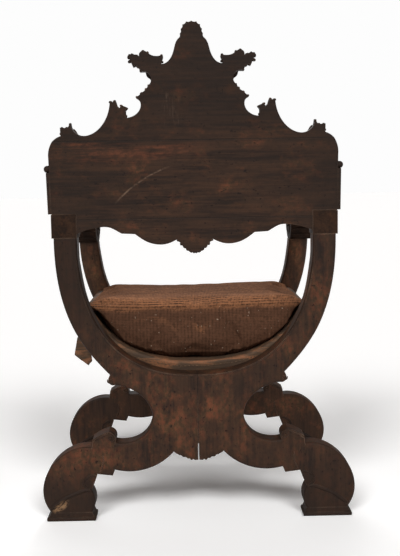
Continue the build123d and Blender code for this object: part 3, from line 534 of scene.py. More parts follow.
def makeRunTree():
    tree = bpy.data.node_groups.new("runAlongPath", "GeometryNodeTree")
    tree.is_modifier = True
    for name, kind in (("Path", "Geometry"), ("Spacing", "Float"), ("Size", "Vector"),
                       ("Follow", "Float"), ("Uneven", "Float"), ("Seed", "Int"),
                       ("Finish", "Material")):
        tree.interface.new_socket(name, in_out="INPUT", socket_type="NodeSocket" + kind)
    tree.interface.new_socket("Pieces", in_out="OUTPUT", socket_type="NodeSocketGeometry")
    given = addNode(tree, "NodeGroupInput").outputs
    line = addNode(tree, "GeometryNodeMeshToCurve", {"Mesh": given["Path"]})
    even = addNode(tree, "GeometryNodeResampleCurve", {
        "Curve": line.outputs["Curve"], "Length": given["Spacing"]}, mode="LENGTH")
    ball = addNode(tree, "GeometryNodeMeshIcoSphere", {"Radius": 1.0, "Subdivisions": 2})
    smooth = addNode(tree, "GeometryNodeSetShadeSmooth", {"Geometry": ball.outputs["Mesh"]})
    tangent = addNode(tree, "GeometryNodeInputTangent")
    turn = addNode(tree, "FunctionNodeAlignRotationToVector", {
        "Factor": given["Follow"], "Vector": tangent.outputs["Tangent"]}, axis="X")
    least, most = (addNode(tree, "ShaderNodeMath", {0: 1.0, 1: given["Uneven"]},
                           operation=how).outputs[0] for how in ("SUBTRACT", "ADD"))
    scatter = addNode(tree, "FunctionNodeRandomValue", {
        2: least, 3: most, "Seed": given["Seed"]}, data_type="FLOAT")
    size = addNode(tree, "ShaderNodeVectorMath", {
        0: given["Size"], "Scale": scatter.outputs[1]}, operation="SCALE")
    laid = addNode(tree, "GeometryNodeInstanceOnPoints", {
        "Points": even.outputs["Curve"], "Instance": smooth.outputs[0],
        "Rotation": turn.outputs["Rotation"], "Scale": size.outputs["Vector"]})
    real = addNode(tree, "GeometryNodeRealizeInstances", {"Geometry": laid.outputs["Instances"]})
    done = addNode(tree, "GeometryNodeSetMaterial", {
        "Geometry": real.outputs["Geometry"], "Material": given["Finish"]})
    addNode(tree, "NodeGroupOutput", {"Pieces": done.outputs["Geometry"]})
    return tree


runTree = makeRunTree()


def layRun(name, paths, spacing, size, finish, follow=0.0, uneven=0.05, seed=1):
    bm = bmesh.new()
    for path in paths:
        verts = [bm.verts.new(p) for p in path]
        for a, b in zip(verts, verts[1:]):
            bm.edges.new((a, b))
    mesh = bpy.data.meshes.new(name)
    bm.to_mesh(mesh)
    bm.free()
    piece = bpy.data.objects.new(name, mesh)
    bpy.context.scene.collection.objects.link(piece)
    run = piece.modifiers.new("run", "NODES")
    run.node_group = runTree
    values = {"Spacing": spacing, "Size": size, "Follow": follow, "Uneven": uneven,
              "Seed": seed, "Finish": finish}
    for item in runTree.interface.items_tree:
        if item.in_out == "INPUT" and item.name in values:
            run[item.identifier] = values[item.name]
    return settle(piece)


sling = {
    "lift": 0.019, "rise": 0.235, "railRise": 0.112, "railInset": 0.0235,
    "railHalf": 0.012, "railAcross": 0.052, "thickness": 0.0045, "wrap": 0.040,
    "rearY": 0.2018, "frontY": -0.1818, "hem": 0.021,
    "halfPoints": 110, "rows": 64, "hemSteps": 5,
    # the hems end, and the leather lies still, from these shares of the way to its ends
    "hemEnd": 0.60, "hemFade": 0.12, "stillFrom": 0.66, "stillFade": 0.06,
    "ripple": 0.0014, "wave": 0.0016, "lean": 0.0012,
}


def railTop():
    # the middle of the rail's round edge, with the arm's directions along and outward there
    centre, along, outward = bowlPoint(bowl["bottom"] + sling["railRise"], sling["railInset"])
    return centre + along * (sling["railAcross"] / 2 - sling["railHalf"]), along, outward


def slingSection(offset):
    # half of the leather's line from the middle to the end of the wrap, raised off its top face
    s = sling
    centre, along, outward = railTop()
    radius = s["railHalf"] + 0.005 + offset
    reach = centre - outward * radius
    bottom = bowl["bottom"] + s["lift"] + offset
    rise = s["rise"] - offset
    halfWidth = reach.x / bowlX(reach.y, 1.0, bottom, rise)
    heights = [bottom + (reach.y - bottom) * (i / 60) ** 2 for i in range(60)]
    hanging = [Vector((bowlX(z, halfWidth, bottom, rise), z)) for z in heights]
    angles = [math.pi * i / 24 for i in range(25)]
    turn = [centre - outward * radius * math.cos(a) + along * radius * math.sin(a) for a in angles]
    end = centre + outward * radius - along * s["wrap"]
    return hanging, turn, end, reach


def slingTopZ(x):
    # height of the leather's top face at one x, for the cushion to rest on
    hanging, turn, end, reach = slingSection(0.0)
    crown = max(range(len(turn)), key=lambda i: turn[i].y)
    line = hanging + turn[:crown + 1]
    for a, b in zip(line, line[1:]):
        if a.x <= abs(x) <= b.x:
            return a.y + (b.y - a.y) * (abs(x) - a.x) / max(1e-9, b.x - a.x)
    return line[-1].y


def makeSling():
    s = sling
    hanging, turn, end, reach = slingSection(-0.0025)
    half = resampled(hanging + turn + [end], s["halfPoints"])
    path = [Vector((-p.x, p.y)) for p in reversed(half[1:])] + half
    rows, hemSteps, depth = s["rows"], s["hemSteps"], s["rearY"] - s["frontY"]
    bm = bmesh.new()
    grid = []
    stitched = []
    for share, point, inward in alongPath(path):
        away = abs(2 * share - 1)
        hem = s["hem"] * (1 - clamped((away - s["hemEnd"]) / s["hemFade"]))
        hem *= 1 + 0.10 * math.sin(11 * away * math.copysign(1, point.x) + 1.3)
        loose = clamped(1 - (away - s["stillFrom"]) / s["stillFade"])
        column = []
        for j in range(-hemSteps, rows + hemSteps + 1):
            t = clamped(j / rows)
            y = s["frontY"] + depth * t
            down = hem * max(0, -j, j - rows) / hemSteps
            ripple = s["ripple"] * noise.noise(Vector((point.x * 14, y * 9, point.y * 14))) * loose
            wave = 0.0
            if away <= s["stillFrom"]:
                wave = s["wave"] * math.sin(point.x * 70 + 2 * math.sin(point.x * 23))
                wave *= max(0.0, 1 - min(t, 1 - t) / 0.06)
            place = point + inward * (min(0.0, ripple) + wave * 0.4 - down)
            lean = s["lean"] * math.sin(point.x * 55) * down / s["hem"]
            column.append(bm.verts.new((
                place.x, y + lean - math.copysign(down * 0.10, t - 0.5), place.y)))
        grid.append(column)
        if away < s["hemEnd"]:
            stitched.append(column)
    skin(bm, grid, closed=False)
    stitchLines = [[column[j].co.copy() for column in stitched] for j in (hemSteps - 2, 1 - hemSteps)]
    piece = thickened(pieceFrom("slingLeather", bm, hide), s["thickness"])
    return piece, (lengthOf(path), depth + 2 * s["hem"]), stitchLines


# the loose rear corner, a curling scrap with a torn lower edge: its corners from the wrap's end
flap = {
    "corners": ((0.023, 0.004), (0.030, -0.034), (0.001, -0.057), (-0.008, -0.047)),
    "y": 0.2000, "sweep": 0.0022, "torn": 0.0016, "curl": 0.003, "buckle": 0.002,
    "thickness": 0.0036, "columns": 25, "rows": 14,
}


def makeFlap():
    f = flap
    centre, along, outward = railTop()
    end = centre + outward * (sling["railHalf"] + 0.0052) - along * sling["wrap"]
    corners = [end + Vector(c) for c in f["corners"]]
    upper = resampled([end + along * 0.014] + corners[:2], f["columns"] + 1)
    lower = resampled([end, corners[3], corners[2]], f["columns"] + 1)
    bm = bmesh.new()
    grid = []
    for i, (a, b) in enumerate(zip(upper, lower)):
        u = i / f["columns"]
        column = []
        for j in range(f["rows"] + 1):
            v = j / f["rows"]
            place = a.lerp(b, v)
            torn = f["torn"] * noise.noise(Vector((u * 9, v * 2, 3.1))) * v
            curl = f["curl"] * u * u * math.sin(v * 2.6)
            curl += f["buckle"] * noise.noise(Vector((u * 3, v * 3, 0)))
            column.append(bm.verts.new((
                place.x + torn, f["y"] - f["sweep"] * u + curl * u, place.y + torn * 2)))
        grid.append(column)
    skin(bm, grid, closed=False)
    return thickened(pieceFrom("slingCorner", bm, hide), f["thickness"])


slingLeather, slingFlat, hemLines = makeSling()
slingCorner = makeFlap()
# waxed thread along both hems, a little proud of the leather
hemLines = [[p + Vector((0, math.copysign(0.0026, p.y), 0)) for p in line] for line in hemLines]
slingStitches = layRun("slingStitches", hemLines, 0.0085, (0.0028, 0.0009, 0.0009), thread,
                       follow=1.0, uneven=0.12, seed=4)
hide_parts("seat_sling")
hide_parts("sling_flap")
for piece in (slingLeather, slingCorner, slingStitches):
    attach(piece, "chair")
print("sling made:", len(slingLeather.data.polygons), "faces")


cushion = {
    "top": 0.459, "rearY": 0.196, "frontY": -0.174, "startInset": 0.004, "endRound": 0.030,
    "voxel": 0.006, "pressure": 4.0, "frames": 20, "cap": 0.010, "restGap": 0.0006,
    "halfWidth": 0.215, "cornerLift": 0.012, "drawnIn": 0.005, "soft": 0.0035, "fold": 0.0022,
    "topFrom": 0.41, "topOver": 0.05, "yMin": -0.1845, "yMax": 0.2045,
    # the lip that spreads over the rails
    "lipReach": 0.241, "lipSide": 0.213, "lipFrom": 0.165, "lipLow": 0.436, "lipHigh": 0.452,
    "lipRearFrom": 1.90, "lipRearOver": 0.10, "lipRearCut": 0.25,
    "lipFrontFrom": 0.45, "lipFrontOver": 0.40, "lipFrontCut": 0.7,
    # the tuck under the rear left corner
    "tuck": 0.024, "tuckFrom": 0.10, "tuckOver": 0.11, "tuckZ": 0.405, "tuckHalf": 0.045,
}


def cushionBlank():
    s = cushion
    inset = s["startInset"]
    hanging, turn, end, reach = slingSection(inset)
    along = railTop()[1]
    top = s["top"] - inset
    corner = reach + along * ((top - reach.y) / along.y)
    half = resampled(hanging + [reach], 40) + resampled([reach, corner], 6)[1:]
    half += resampled([corner, Vector((0, top))], 30)[1:-1]
    loop = half + [Vector((0, top))] + [Vector((-p.x, p.y)) for p in reversed(half[1:])]
    bm = bmesh.new()
    rings = []
    depth = s["rearY"] - s["frontY"] - 2 * inset
    for j in range(61):
        # close rings at both ends, drawn in so that the ends are rounded
        away = depth / 2 * (1 - math.cos(math.pi * j / 60))
        near = max(0.0, 1 - min(away, depth - away) / s["endRound"])
        drawn = s["endRound"] * (1 - math.sqrt(1 - near * near))
        narrow = 1 - 0.45 * drawn / 0.21
        rings.append([bm.verts.new((
            p.x * narrow, s["frontY"] + inset + away,
            p.y - drawn * 0.9 * clamped((p.y - 0.335) / 0.11))) for p in loop])
    skin(bm, rings)
    bmesh.ops.triangulate(bm, faces=[f for f in bm.faces if len(f.verts) > 4])
    piece = pieceFrom("cushionWool", bm, wool)
    shape = piece.modifiers.new("evenMesh", "REMESH")
    shape.mode = "VOXEL"
    shape.voxel_size = s["voxel"]
    shape.use_smooth_shade = True
    return settle(piece)


def puffed(piece):
    # pressed out by its stuffing, with each point's travel capped
    s = cushion
    start = pointsOf(piece)
    sim = piece.modifiers.new("stuffing", "CLOTH")
    for name, value in (("quality", 5), ("use_pressure", True),
                        ("uniform_pressure_force", s["pressure"]), ("tension_stiffness", 12),
                        ("compression_stiffness", 12), ("shear_stiffness", 4),
                        ("bending_stiffness", 0.6)):
        setattr(sim.settings, name, value)
    sim.settings.effector_weights.gravity = 0
    sim.collision_settings.use_collision = False
    scene = bpy.context.scene
    for number in range(1, s["frames"] + 1):
        scene.frame_set(number)
    settle(piece)
    scene.frame_set(1)
    travel = pointsOf(piece) - start
    share = np.minimum(1.0, s["cap"] / np.maximum(np.linalg.norm(travel, axis=1), 1e-9))
    return start + travel * share[:, None]


def shapeCushion(piece, places):
    # it lies on the leather, its corners lifted and its cloth dragged into soft folds
    s = cushion
    xs = np.linspace(0, 0.26, 261)
    rest = np.array([slingTopZ(x) for x in xs])
    for p in places:
        x, y, z = p
        across = min(1.0, abs(x) / s["halfWidth"])
        depth = (y - s["frontY"]) / (s["rearY"] - s["frontY"])
        ends = abs(2 * depth - 1)
        high = clamped((z - s["topFrom"]) / s["topOver"])
        p[2] += s["cornerLift"] * across ** 3 * ends ** 3 * high
        # the lip is shorter at the very rear, and fades towards the front
        over = clamped((z - s["lipLow"]) / (s["lipHigh"] - s["lipLow"]))
        far = max(0.0, (abs(x) - s["lipFrom"]) / (s["lipSide"] - s["lipFrom"]))
        kept = 1 - max(0.0, 2 * depth - s["lipRearFrom"]) / s["lipRearOver"] * s["lipRearCut"]
        fade = min(1.0, max(0.0, s["lipFrontFrom"] - depth) / s["lipFrontOver"])
        kept -= fade ** 2 * s["lipFrontCut"]
        p[0] += math.copysign((s["lipReach"] - s["lipSide"]) * far ** 1.5 * over * kept, x)
        if x > 0 and depth > 0.8:
            under = max(0.0, 1 - abs(z - s["tuckZ"]) / s["tuckHalf"])
            under *= max(0.0, (x - s["tuckFrom"]) / s["tuckOver"]) * (depth - 0.8) / 0.2
            p[0] -= s["tuck"] * under
        p[2] += s["soft"] * noise.noise(Vector((x * 7, y * 9, z * 5))) * high
        if ends > 0.9:
            p[1] += math.copysign(s["fold"], y) * noise.noise(Vector((x * 22, y * 14, z * 34 + 4)))
        if ends > 0.8:
            p[1] -= math.copysign(s["drawnIn"] * (1 - across ** 2) * (ends - 0.8) / 0.2, p[1])
        p[2] = max(p[2], float(np.interp(abs(p[0]), xs, rest)) + s["restGap"])
        p[1] = min(max(p[1], s["yMin"]), s["yMax"])
    piece.data.vertices.foreach_set("co", places.reshape(-1))
    piece.data.update()
    finer = piece.modifiers.new("finer", "SUBSURF")
    finer.levels = finer.render_levels = 1
    return settle(piece)


cushionWool = cushionBlank()
shapeCushion(cushionWool, puffed(cushionWool))
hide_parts("seat_cushion")
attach(cushionWool, "cushion")
print("cushion made:", len(cushionWool.data.polygons), "faces")


# Raised work is drawn in millimetres on a face of the chair, as tapering ridges, leaves and beads.

sunk = -0.8         # the foot of all raised work lies under the face


def onFace(y, outward, side=1):
    # from a drawing in X and Z to a face of a frame or board
    return lambda u, v, h: Vector((side * u * mm, y + outward * h * mm, v * mm))


def addRidge(bm, toSpace, points, width, height, ends=(0.25, 0.25), count=None):
    # a rounded rib along a path, narrow and low at its ends
    path = resampled(points, count or max(10, int(lengthOf(points) / 2.2)))
    section = [(-1.0, 0.0), (-0.72, 0.40), (-0.38, 0.84), (0.0, 1.0), (0.38, 0.84), (0.72, 0.40),
               (1.0, 0.0)]
    rings = []
    for t, point, cross in alongPath(path):
        grow = min(1.0, 0.12 + t / ends[0], 0.12 + (1 - t) / ends[1])
        grow = math.sin(grow * math.pi / 2)
        half, rise = width / 2 * grow, height * grow
        ring = [bm.verts.new(toSpace(*(point + cross * (half * a)), rise * b)) for a, b in section]
        ring += [bm.verts.new(toSpace(*(point + cross * a), sunk)) for a in (half, -half)]
        rings.append(ring)
    skin(bm, rings)


def volute(centre, start, end, turns, angle, clockwise=False):
    # points of a scroll from its outside to its eye
    points = []
    steps = int(26 * turns)
    for i in range(steps + 1):
        t = i / steps
        radius = start + (end - start) * t ** 0.8
        a = math.radians(angle) + (-1 if clockwise else 1) * 2 * math.pi * turns * t
        points.append(Vector((centre[0] + radius * math.cos(a), centre[1] + radius * math.sin(a))))
    return points


def addBoss(bm, toSpace, centre, radius, height):
    # a low domed button
    rings = []
    for k in range(5):
        share = k / 4
        r = radius * math.cos(share * math.pi / 2 * 0.86)
        h = height * math.sin(share * math.pi / 2) if k else sunk
        angles = [2 * math.pi * i / 18 for i in range(18)]
        rings.append([bm.verts.new(toSpace(centre[0] + r * math.cos(a), centre[1] + r * math.sin(a), h))
                      for a in angles])
    skin(bm, rings)


def addLeaf(bm, toSpace, spine, width, height, lobes=4):
    # an acanthus leaf: a hollowed blade with a scalloped rim, veins and a raised midrib
    across = 16
    rings = []
    for t, point, cross in alongPath(resampled(curved(spine), 44)):
        body = math.sin(math.pi * min(1.0, t * 0.93 + 0.07)) ** 0.62
        rim = 1 - 0.20 * abs(math.sin(math.pi * lobes * t)) ** 3
        half = width / 2 * body * rim
        ring = []
        for j in range(across + 1):
            s = 2 * j / across - 1
            vein = 0.22 * math.cos(2 * math.pi * (lobes * t - 0.55 * abs(s)))
            rise = height * body * (0.42 + 0.38 * s * s + vein * (1 - s * s) * abs(s) * 2
                                    + 0.45 * max(0.0, 1 - abs(s) / 0.16))
            rise *= 1 - 0.9 * max(0.0, abs(s) - 0.86) / 0.14
            ring.append(bm.verts.new(toSpace(*(point + cross * (half * s)), rise)))
        ring += [bm.verts.new(toSpace(*(point + cross * a), sunk)) for a in (half, -half)]
        rings.append(ring)
    skin(bm, rings)


def addTips(bm, tips, base, middle, halfDepth, side):
    # small rounded buds through the thickness of a board, which stand out past its sawn edge
    for number, (x, z, radius) in enumerate(tips):
        place = (side * x * mm, middle + 0.0015 * math.sin(number * 2.4), (base + z) * mm)
        turn = Matrix.Rotation(side * (0.4 + number * 0.9), 4, "Y")
        size = Matrix.Diagonal((radius * 1.15 * mm, halfDepth, radius * 0.85 * mm, 1))
        bmesh.ops.create_icosphere(bm, subdivisions=2, radius=1.0,
                                   matrix=Matrix.Translation(place) @ turn @ size)


def addShell(bm, toSpace, hub, rim, width):
    # flutes that fan out from a hub
    for point in rim:
        middle = ((hub[0] + point[0]) / 2, (hub[1] + point[1]) / 2)
        addRidge(bm, toSpace, [hub, middle, point], width, 5.5, (0.5, 0.12))


def addFlower(bm, toSpace, centre, radius):
    for k in range(8):
        a = 2 * math.pi * k / 8
        petal = [(centre[0] + r * math.cos(a), centre[1] + r * math.sin(a))
                 for r in (5, radius * 0.6, radius)]
        addLeaf(bm, toSpace, petal, radius * 0.62, 5.0, 2)
    addBoss(bm, toSpace, centre, 6.0, 7.5)


def lifted(points, base):
    return [(x, z + base) for x, z in points]


# a thin bead along the inner edge of the arms
bead = {"inset": 3.2, "top": 560, "rear": (3.2, 1.1), "front": (4.0, 1.8), "ends": (0.01, 0.01)}


def beadPath():
    points = []
    low = bowl["bottom"] / mm
    for i in range(41):
        place = bowlPoint((low + 0.5 + (bead["top"] - low) * (i / 40) ** 2) * mm, bead["inset"] * mm)[0]
        points.append(place / mm)
    return [Vector((-p.x, p.y)) for p in reversed(points)] + points


# worn, shallow work on every face of the frames: line, width, height and how far its ends taper
legWork = (
    (curved(((233, 66), (247, 66), (263, 60), (282, 52), (300, 41), (320, 25))), 9, 2.6, (0.1, 0.12)),
    (curved(((219, 99), (231, 98), (243, 90), (246, 79), (240, 71), (232, 69))), 6, 2.4, (0.2, 0.15)),
    (curved(((204, 143), (203, 130), (206, 116), (212, 106))), 4, 1.6, (0.4, 0.3)),
    (volute((184.5, 181.0), 7.5, 2.0, 1.3, 200), 3.4, 2.2, (0.2, 0.1)),
    (curved(((192, 190), (203, 184), (214, 179), (224, 172))), 5, 1.8, (0.2, 0.4)),
    (volute((183.5, 304.0), 7.0, 2.0, 1.1, 30, True), 3.2, 1.8, (0.2, 0.1)),
)
# the scalloped edge under the crossing: x, height, radius
apron = {
    "tips": ((6.5, 130.4, 4.2), (15, 131.8, 4.4), (23.5, 134.2, 4.4), (32, 137.8, 4.4),
             (40, 142.0, 4.2), (47.5, 146.6, 3.8)),
    "rearMiddle": 0.242, "frontMiddle": -0.222, "halfDepth": 0.010,
}


def carveLeg(bm, toSpace):
    for line, width, height, ends in legWork:
        addRidge(bm, toSpace, line, width, height, ends)


def carveRear():
    bm = bmesh.new()
    addRidge(bm, onFace(bowl["rearY"], 1), beadPath(), *bead["rear"], bead["ends"])
    for side in (1, -1):
        carveLeg(bm, onFace(bowl["rearY"], 1, side))
        addTips(bm, apron["tips"], 0, apron["rearMiddle"], apron["halfDepth"], side)
        carveLeg(bm, onFace(bowl["frontInnerY"], 1, side))
    return pieceFrom("rearCarving", bm, frameWalnut)


# the front of the front frame: leaves that grow from the roundel along the arms and the legs
frontWork = {
    # spine, width, height and lobes
    "sideLeaves": (
        (((58, 294), (92, 302), (123, 314), (154, 331), (183, 353)), 34, 8.5, 6),
        (((190, 360), (204, 375), (227, 408), (243, 441), (254, 474)), 31, 8.0, 6),
        (((52, 202), (92, 166), (140, 148), (190, 140)), 34, 8.5, 5),
        (((226, 122), (262, 128), (296, 112), (318, 80)), 34, 8.0, 5)),
    "middleLeaves": ((((0, 178), (0, 160), (0, 138)), 36, 8.0, 3),
                     (((0, 282), (0, 294), (0, 309)), 30, 5.0, 2)),
    "coinPath": ((257.5, 486), (262.5, 516), (267, 552)),
}


def carveFront():
    bm = bmesh.new()
    middle = onFace(bowl["frontY"], -1)
    addRidge(bm, middle, beadPath(), *bead["front"], bead["ends"])
    for side in (1, -1):
        face = onFace(bowl["frontY"], -1, side)
        carveLeg(bm, face)
        for leaf in frontWork["sideLeaves"]:
            addLeaf(bm, face, *leaf)
        addTips(bm, apron["tips"], 0, apron["frontMiddle"], apron["halfDepth"], side)
    for leaf in frontWork["middleLeaves"]:
        addLeaf(bm, middle, *leaf)
    return pieceFrom("frontCarving", bm, carvedWalnutLit)


# the front of the back, whose crest and lower board are drawn from their seams
backFace = 0.226
panelMiddle = 730
crestWork = {
    "base": 804, "rimSize": (5.0, 4.0, (0.06, 0.06)), "leafHeight": 7.5,
    "rims": (
        ((247, 27), (238, 12), (226, 4.5), (204, 8.5), (180, 28), (166, 54), (161, 76)),
        ((131, 41), (114, 45), (101, 58), (98, 74), (106, 85)),
        ((98, 91), (90, 101), (82, 112), (77, 126), (82, 139), (92, 145)),
        ((55, 147), (46, 151), (36, 162), (30, 177), (25, 190), (20, 199))),
    "volutes": (((261, 17), 6.5, 30), ((146, 57), 7.0, 120), ((109, 158), 8.0, 60)),
    "leaves": (
        (((44, 112), (60, 122), (76, 128), (98, 150)), 24, 4),
        (((46, 92), (66, 84), (82, 84), (92, 92)), 20, 3),
        (((42, 70), (70, 52), (102, 36), (128, 22)), 32, 5),
        (((134, 16), (150, 30), (154, 46), (152, 62)), 18, 3),
        (((128, 14), (160, 10), (196, 9), (240, 8)), 13, 6)),
    "middleLeaves": ((((0, 150), (0, 172), (0, 196)), 34, 4), (((0, 50), (0, 34), (0, 12)), 40, 3)),
    "shellHub": (0, 200), "shellRim": ((23, 208), (20, 218), (15, 227), (8, 232), (0, 234)),
    # curled tips and buds that stand out past the sawn outline: x, height, radius
    "tips": (
        (126.5, 160, 4.0), (128, 169, 4.2), (121, 173.5, 3.2), (113, 171, 3.6), (100, 179, 4.0),
        (90, 176.5, 3.4), (110, 149, 3.6), (117, 151, 3.0), (62, 170, 3.6), (105, 140, 2.6),
        (168, 79, 3.6), (160, 80, 3.4), (153.5, 67, 3.0), (146, 71, 3.4), (135.5, 65, 3.0),
        (137, 50, 3.0), (252, 35, 2.8), (259, 28, 3.2), (270, 27.5, 3.2), (272, 16, 2.6),
        (113, 88, 3.4), (104, 95.5, 3.6), (95, 103, 3.4), (89, 111, 3.0), (61, 158, 3.0)),
    "tipPlace": (0.238, 0.0095),
}
valanceWork = {
    "base": 643.7, "rimSize": (4.4, 3.4, (0.04, 0.04)), "leafHeight": 6.5,
    "rims": (((240, -22), (222, -15), (196, -10), (174, -11), (158, -18), (148, -25), (126, -26),
              (110, -34), (96, -42), (80, -47), (62, -47), (46, -42), (38, -37)),),
    "volutes": (), "middleLeaves": (),
    "leaves": ((((42, -24), (70, -30), (98, -24), (124, -14)), 22, 4),
               (((140, -12), (170, -7), (204, -6), (236, -10)), 9, 5)),
    "shellHub": (0, -36), "shellRim": ((30, -45), (25, -54), (19, -60), (11, -65), (0, -68)),
    # the small lobes round its shell
    "tips": ((34.2, -45.6, 3.9), (28.2, -53, 4.0), (21.8, -59.8, 4.0), (14.6, -65.4, 4.0),
             (6.8, -69, 4.0)),
    "tipPlace": (0.240, 0.0115),
}
# a scrolling stem with a leaf in each of its bends
friezeWork = {"from": 42, "to": 238, "swing": 21, "waves": 2.5, "leafWidth": 17}
# a flower in the middle of the panel and another on the cartouche: centre, radius, face
flowers = (((0, panelMiddle), 24, backFace), ((0, 904), 25, 0.2195))


def carveBoard(bm, work, side):
    face = onFace(backFace, -1, side)
    base = work["base"]
    for rim in work["rims"]:
        addRidge(bm, face, curved(lifted(rim, base)), *work["rimSize"])
    for (x, z), radius, angle in work["volutes"]:
        addRidge(bm, face, volute((x, z + base), radius, 1.6, 1.4, angle), 3.6, 5.0, (0.2, 0.1))
    for spine, width, lobes in work["leaves"]:
        addLeaf(bm, face, lifted(spine, base), width, work["leafHeight"], lobes)
    hub, *rim = lifted((work["shellHub"], *work["shellRim"]), base)
    addShell(bm, face, hub, rim, 6.0)


def carveFrieze(bm, face):
    w = friezeWork
    places = [(i / 89, w["from"] + (w["to"] - w["from"]) * i / 89) for i in range(90)]
    stem = [(x, panelMiddle + w["swing"] * (1 - 0.35 * t) * math.sin(2 * math.pi * w["waves"] * t))
            for t, x in places]
    addRidge(bm, face, stem, 5.0, 4.6, (0.1, 0.2))
    for k in range(int(2 * w["waves"])):
        t = (k + 0.5) / (2 * w["waves"])
        x = w["from"] + (w["to"] - w["from"]) * t
        up = 1 if k % 2 == 0 else -1
        swing = w["swing"] * (1 - 0.35 * t) * up
        eye = (x + 2, panelMiddle + swing * 0.02)
        addRidge(bm, face, volute(eye, 11, 2.0, 1.3, 90 * up, up > 0), 4.0, 4.4, (0.2, 0.1))
        addBoss(bm, face, eye, 4.4, 5.4)
        spine = [(x + dx, panelMiddle + swing * reach)
                 for dx, reach in ((-12, 0.9), (4, 1.75), (20, 1.45))]
        addLeaf(bm, face, spine, w["leafWidth"], 6.0, 3)


def carveBack():
    bm = bmesh.new()
    for side in (1, -1):
        for work in (crestWork, valanceWork):
            addTips(bm, work["tips"], work["base"], *work["tipPlace"], side)
        for work in (crestWork, valanceWork):
            carveBoard(bm, work, side)
        carveFrieze(bm, onFace(backFace, -1, side))
    for spine, width, lobes in crestWork["middleLeaves"]:
        addLeaf(bm, onFace(backFace, -1), lifted(spine, crestWork["base"]), width,
                crestWork["leafHeight"], lobes)
    for centre, radius, level in flowers:
        addFlower(bm, onFace(level, -1), centre, radius)
    return pieceFrom("backCarving", bm, carvedWalnutLit)


# scrolls on the sides of the armrests, a leaf on their fronts
scroll = {
    "y": -208, "z": 609, "radius": 46, "start": 39, "end": 15, "turns": 1.35,
    "reeds": (-16, -37, -57), "reedSpan": (249, 303),    # degrees round the underside, reach in X
    "leaf": ((-150, 628), (-110, 640), (-60, 638), (-10, 636)),
}


def onNodeSide(name, side, outward):
    # from a drawing in Y and Z to whatever height the side of a CAD piece has there
    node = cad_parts[name]
    away = Vector((side * outward, 0, 0))

    def place(u, v, h):
        start = Vector((side * 0.2625, u * mm, v * mm)) + away * 0.2
        hit, point, normal, index = node.ray_cast(start, -away)
        level = point if hit else Vector((side * (0.307 if outward > 0 else 0.245), u * mm, v * mm))
        return level + away * h * mm
    return place


def onScroll(side, start):
    # from a drawing of X and the way round to the round end of an armrest
    def place(u, v, h):
        radius = (scroll["radius"] + h) * mm
        angle = start + v / scroll["radius"]
        return Vector((side * u * mm, scroll["y"] * mm + radius * math.cos(angle),
                       scroll["z"] * mm + radius * math.sin(angle)))
    return place


def carveArms():
    bm = bmesh.new()
    s = scroll
    spiral = volute((s["y"], s["z"]), s["start"], s["end"], s["turns"], 95)
    for name, side in (("armrest_left", 1), ("armrest_right", -1)):
        for outward in (1, -1):
            addRidge(bm, onNodeSide(name, side, outward), spiral, 6.0, 2.2, (0.08, 0.08))
        for angle in s["reeds"]:
            # reeds across the underside of the scroll
            addRidge(bm, onScroll(side, math.radians(angle)), [(u, 0) for u in s["reedSpan"]],
                     6.0, 2.4, (0.05, 0.05), count=8)
        addLeaf(bm, onNodeSide(name, side, 1), s["leaf"], 20, 3.0, 5)
    return pieceFrom("armCarving", bm, railWalnut)


# pearls: the face in metres, then the middle's height, half width and half height, or for the
# panel its half width and its lower and upper line, in millimetres
pearls = {"cartouche": (0.2172, 904, 32, 42), "roundel": (bowl["frontY"] - 0.006, 231, 40, 40),
          "panel": (0.2258, 245, 687, 773)}


def ellipseLine(y, centreZ, halfX, halfZ, count=120):
    angles = [2 * math.pi * i / count for i in range(count + 1)]
    return [Vector((halfX * mm * math.cos(a), y, centreZ * mm + halfZ * mm * math.sin(a)))
            for a in angles]


def frameLine(y, halfX, lowZ, highZ):
    corners = [(-halfX, lowZ), (halfX, lowZ), (halfX, highZ), (-halfX, highZ), (-halfX, lowZ)]
    return [Vector((x * mm, y, z * mm)) for x, z in corners]


rearCarving, frontCarving, backCarving, armCarving = carveRear(), carveFront(), carveBack(), carveArms()
backPearls = layRun("backPearls", [ellipseLine(*pearls["cartouche"]), frameLine(*pearls["panel"])],
                    0.0082, (0.0034, 0.0034, 0.0034), carvedWalnutLit, seed=7)
coinLines = [[Vector((side * x * mm, bowl["frontY"], z * mm)) for x, z in curved(frontWork["coinPath"])]
             for side in (1, -1)]
armCoins = layRun("armCoins", coinLines, 0.0125, (0.0080, 0.0046, 0.0064), carvedWalnutLit, seed=11)
roundelPearls = layRun("roundelPearls", [ellipseLine(*pearls["roundel"])], 0.0080,
                       (0.0033, 0.0034, 0.0033), carvedWalnutLit, seed=12)

for piece in (rearCarving, frontCarving, armCarving, armCoins, roundelPearls, backCarving, backPearls):
    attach(piece, "back" if piece in (backCarving, backPearls) else "chair")
print("carving made")


studio = {
    "floor": 0.90, "shown": 1.15, "size": 40.0, "skyLow": 0.05, "skyHigh": 0.19,
    "white": "fdfdfd", "warm": "fdf6f2",
    # strength, elevation, turn from the rear, softness
    "lamps": {"rearLampLeft": (1.56, 38, -22, 22), "rearLampRight": (1.56, 38, 25, 22),
              "frontLamp": (0.60, 36, 172, 50)},
    # a narrow lamp over the front, on the seat and the front of the back
    "seatLamp": {"place": (0.05, -1.6, 1.9), "aim": (0, 0.12, 0.62), "watts": 140, "cone": 33,
                 "size": 0.25},
}


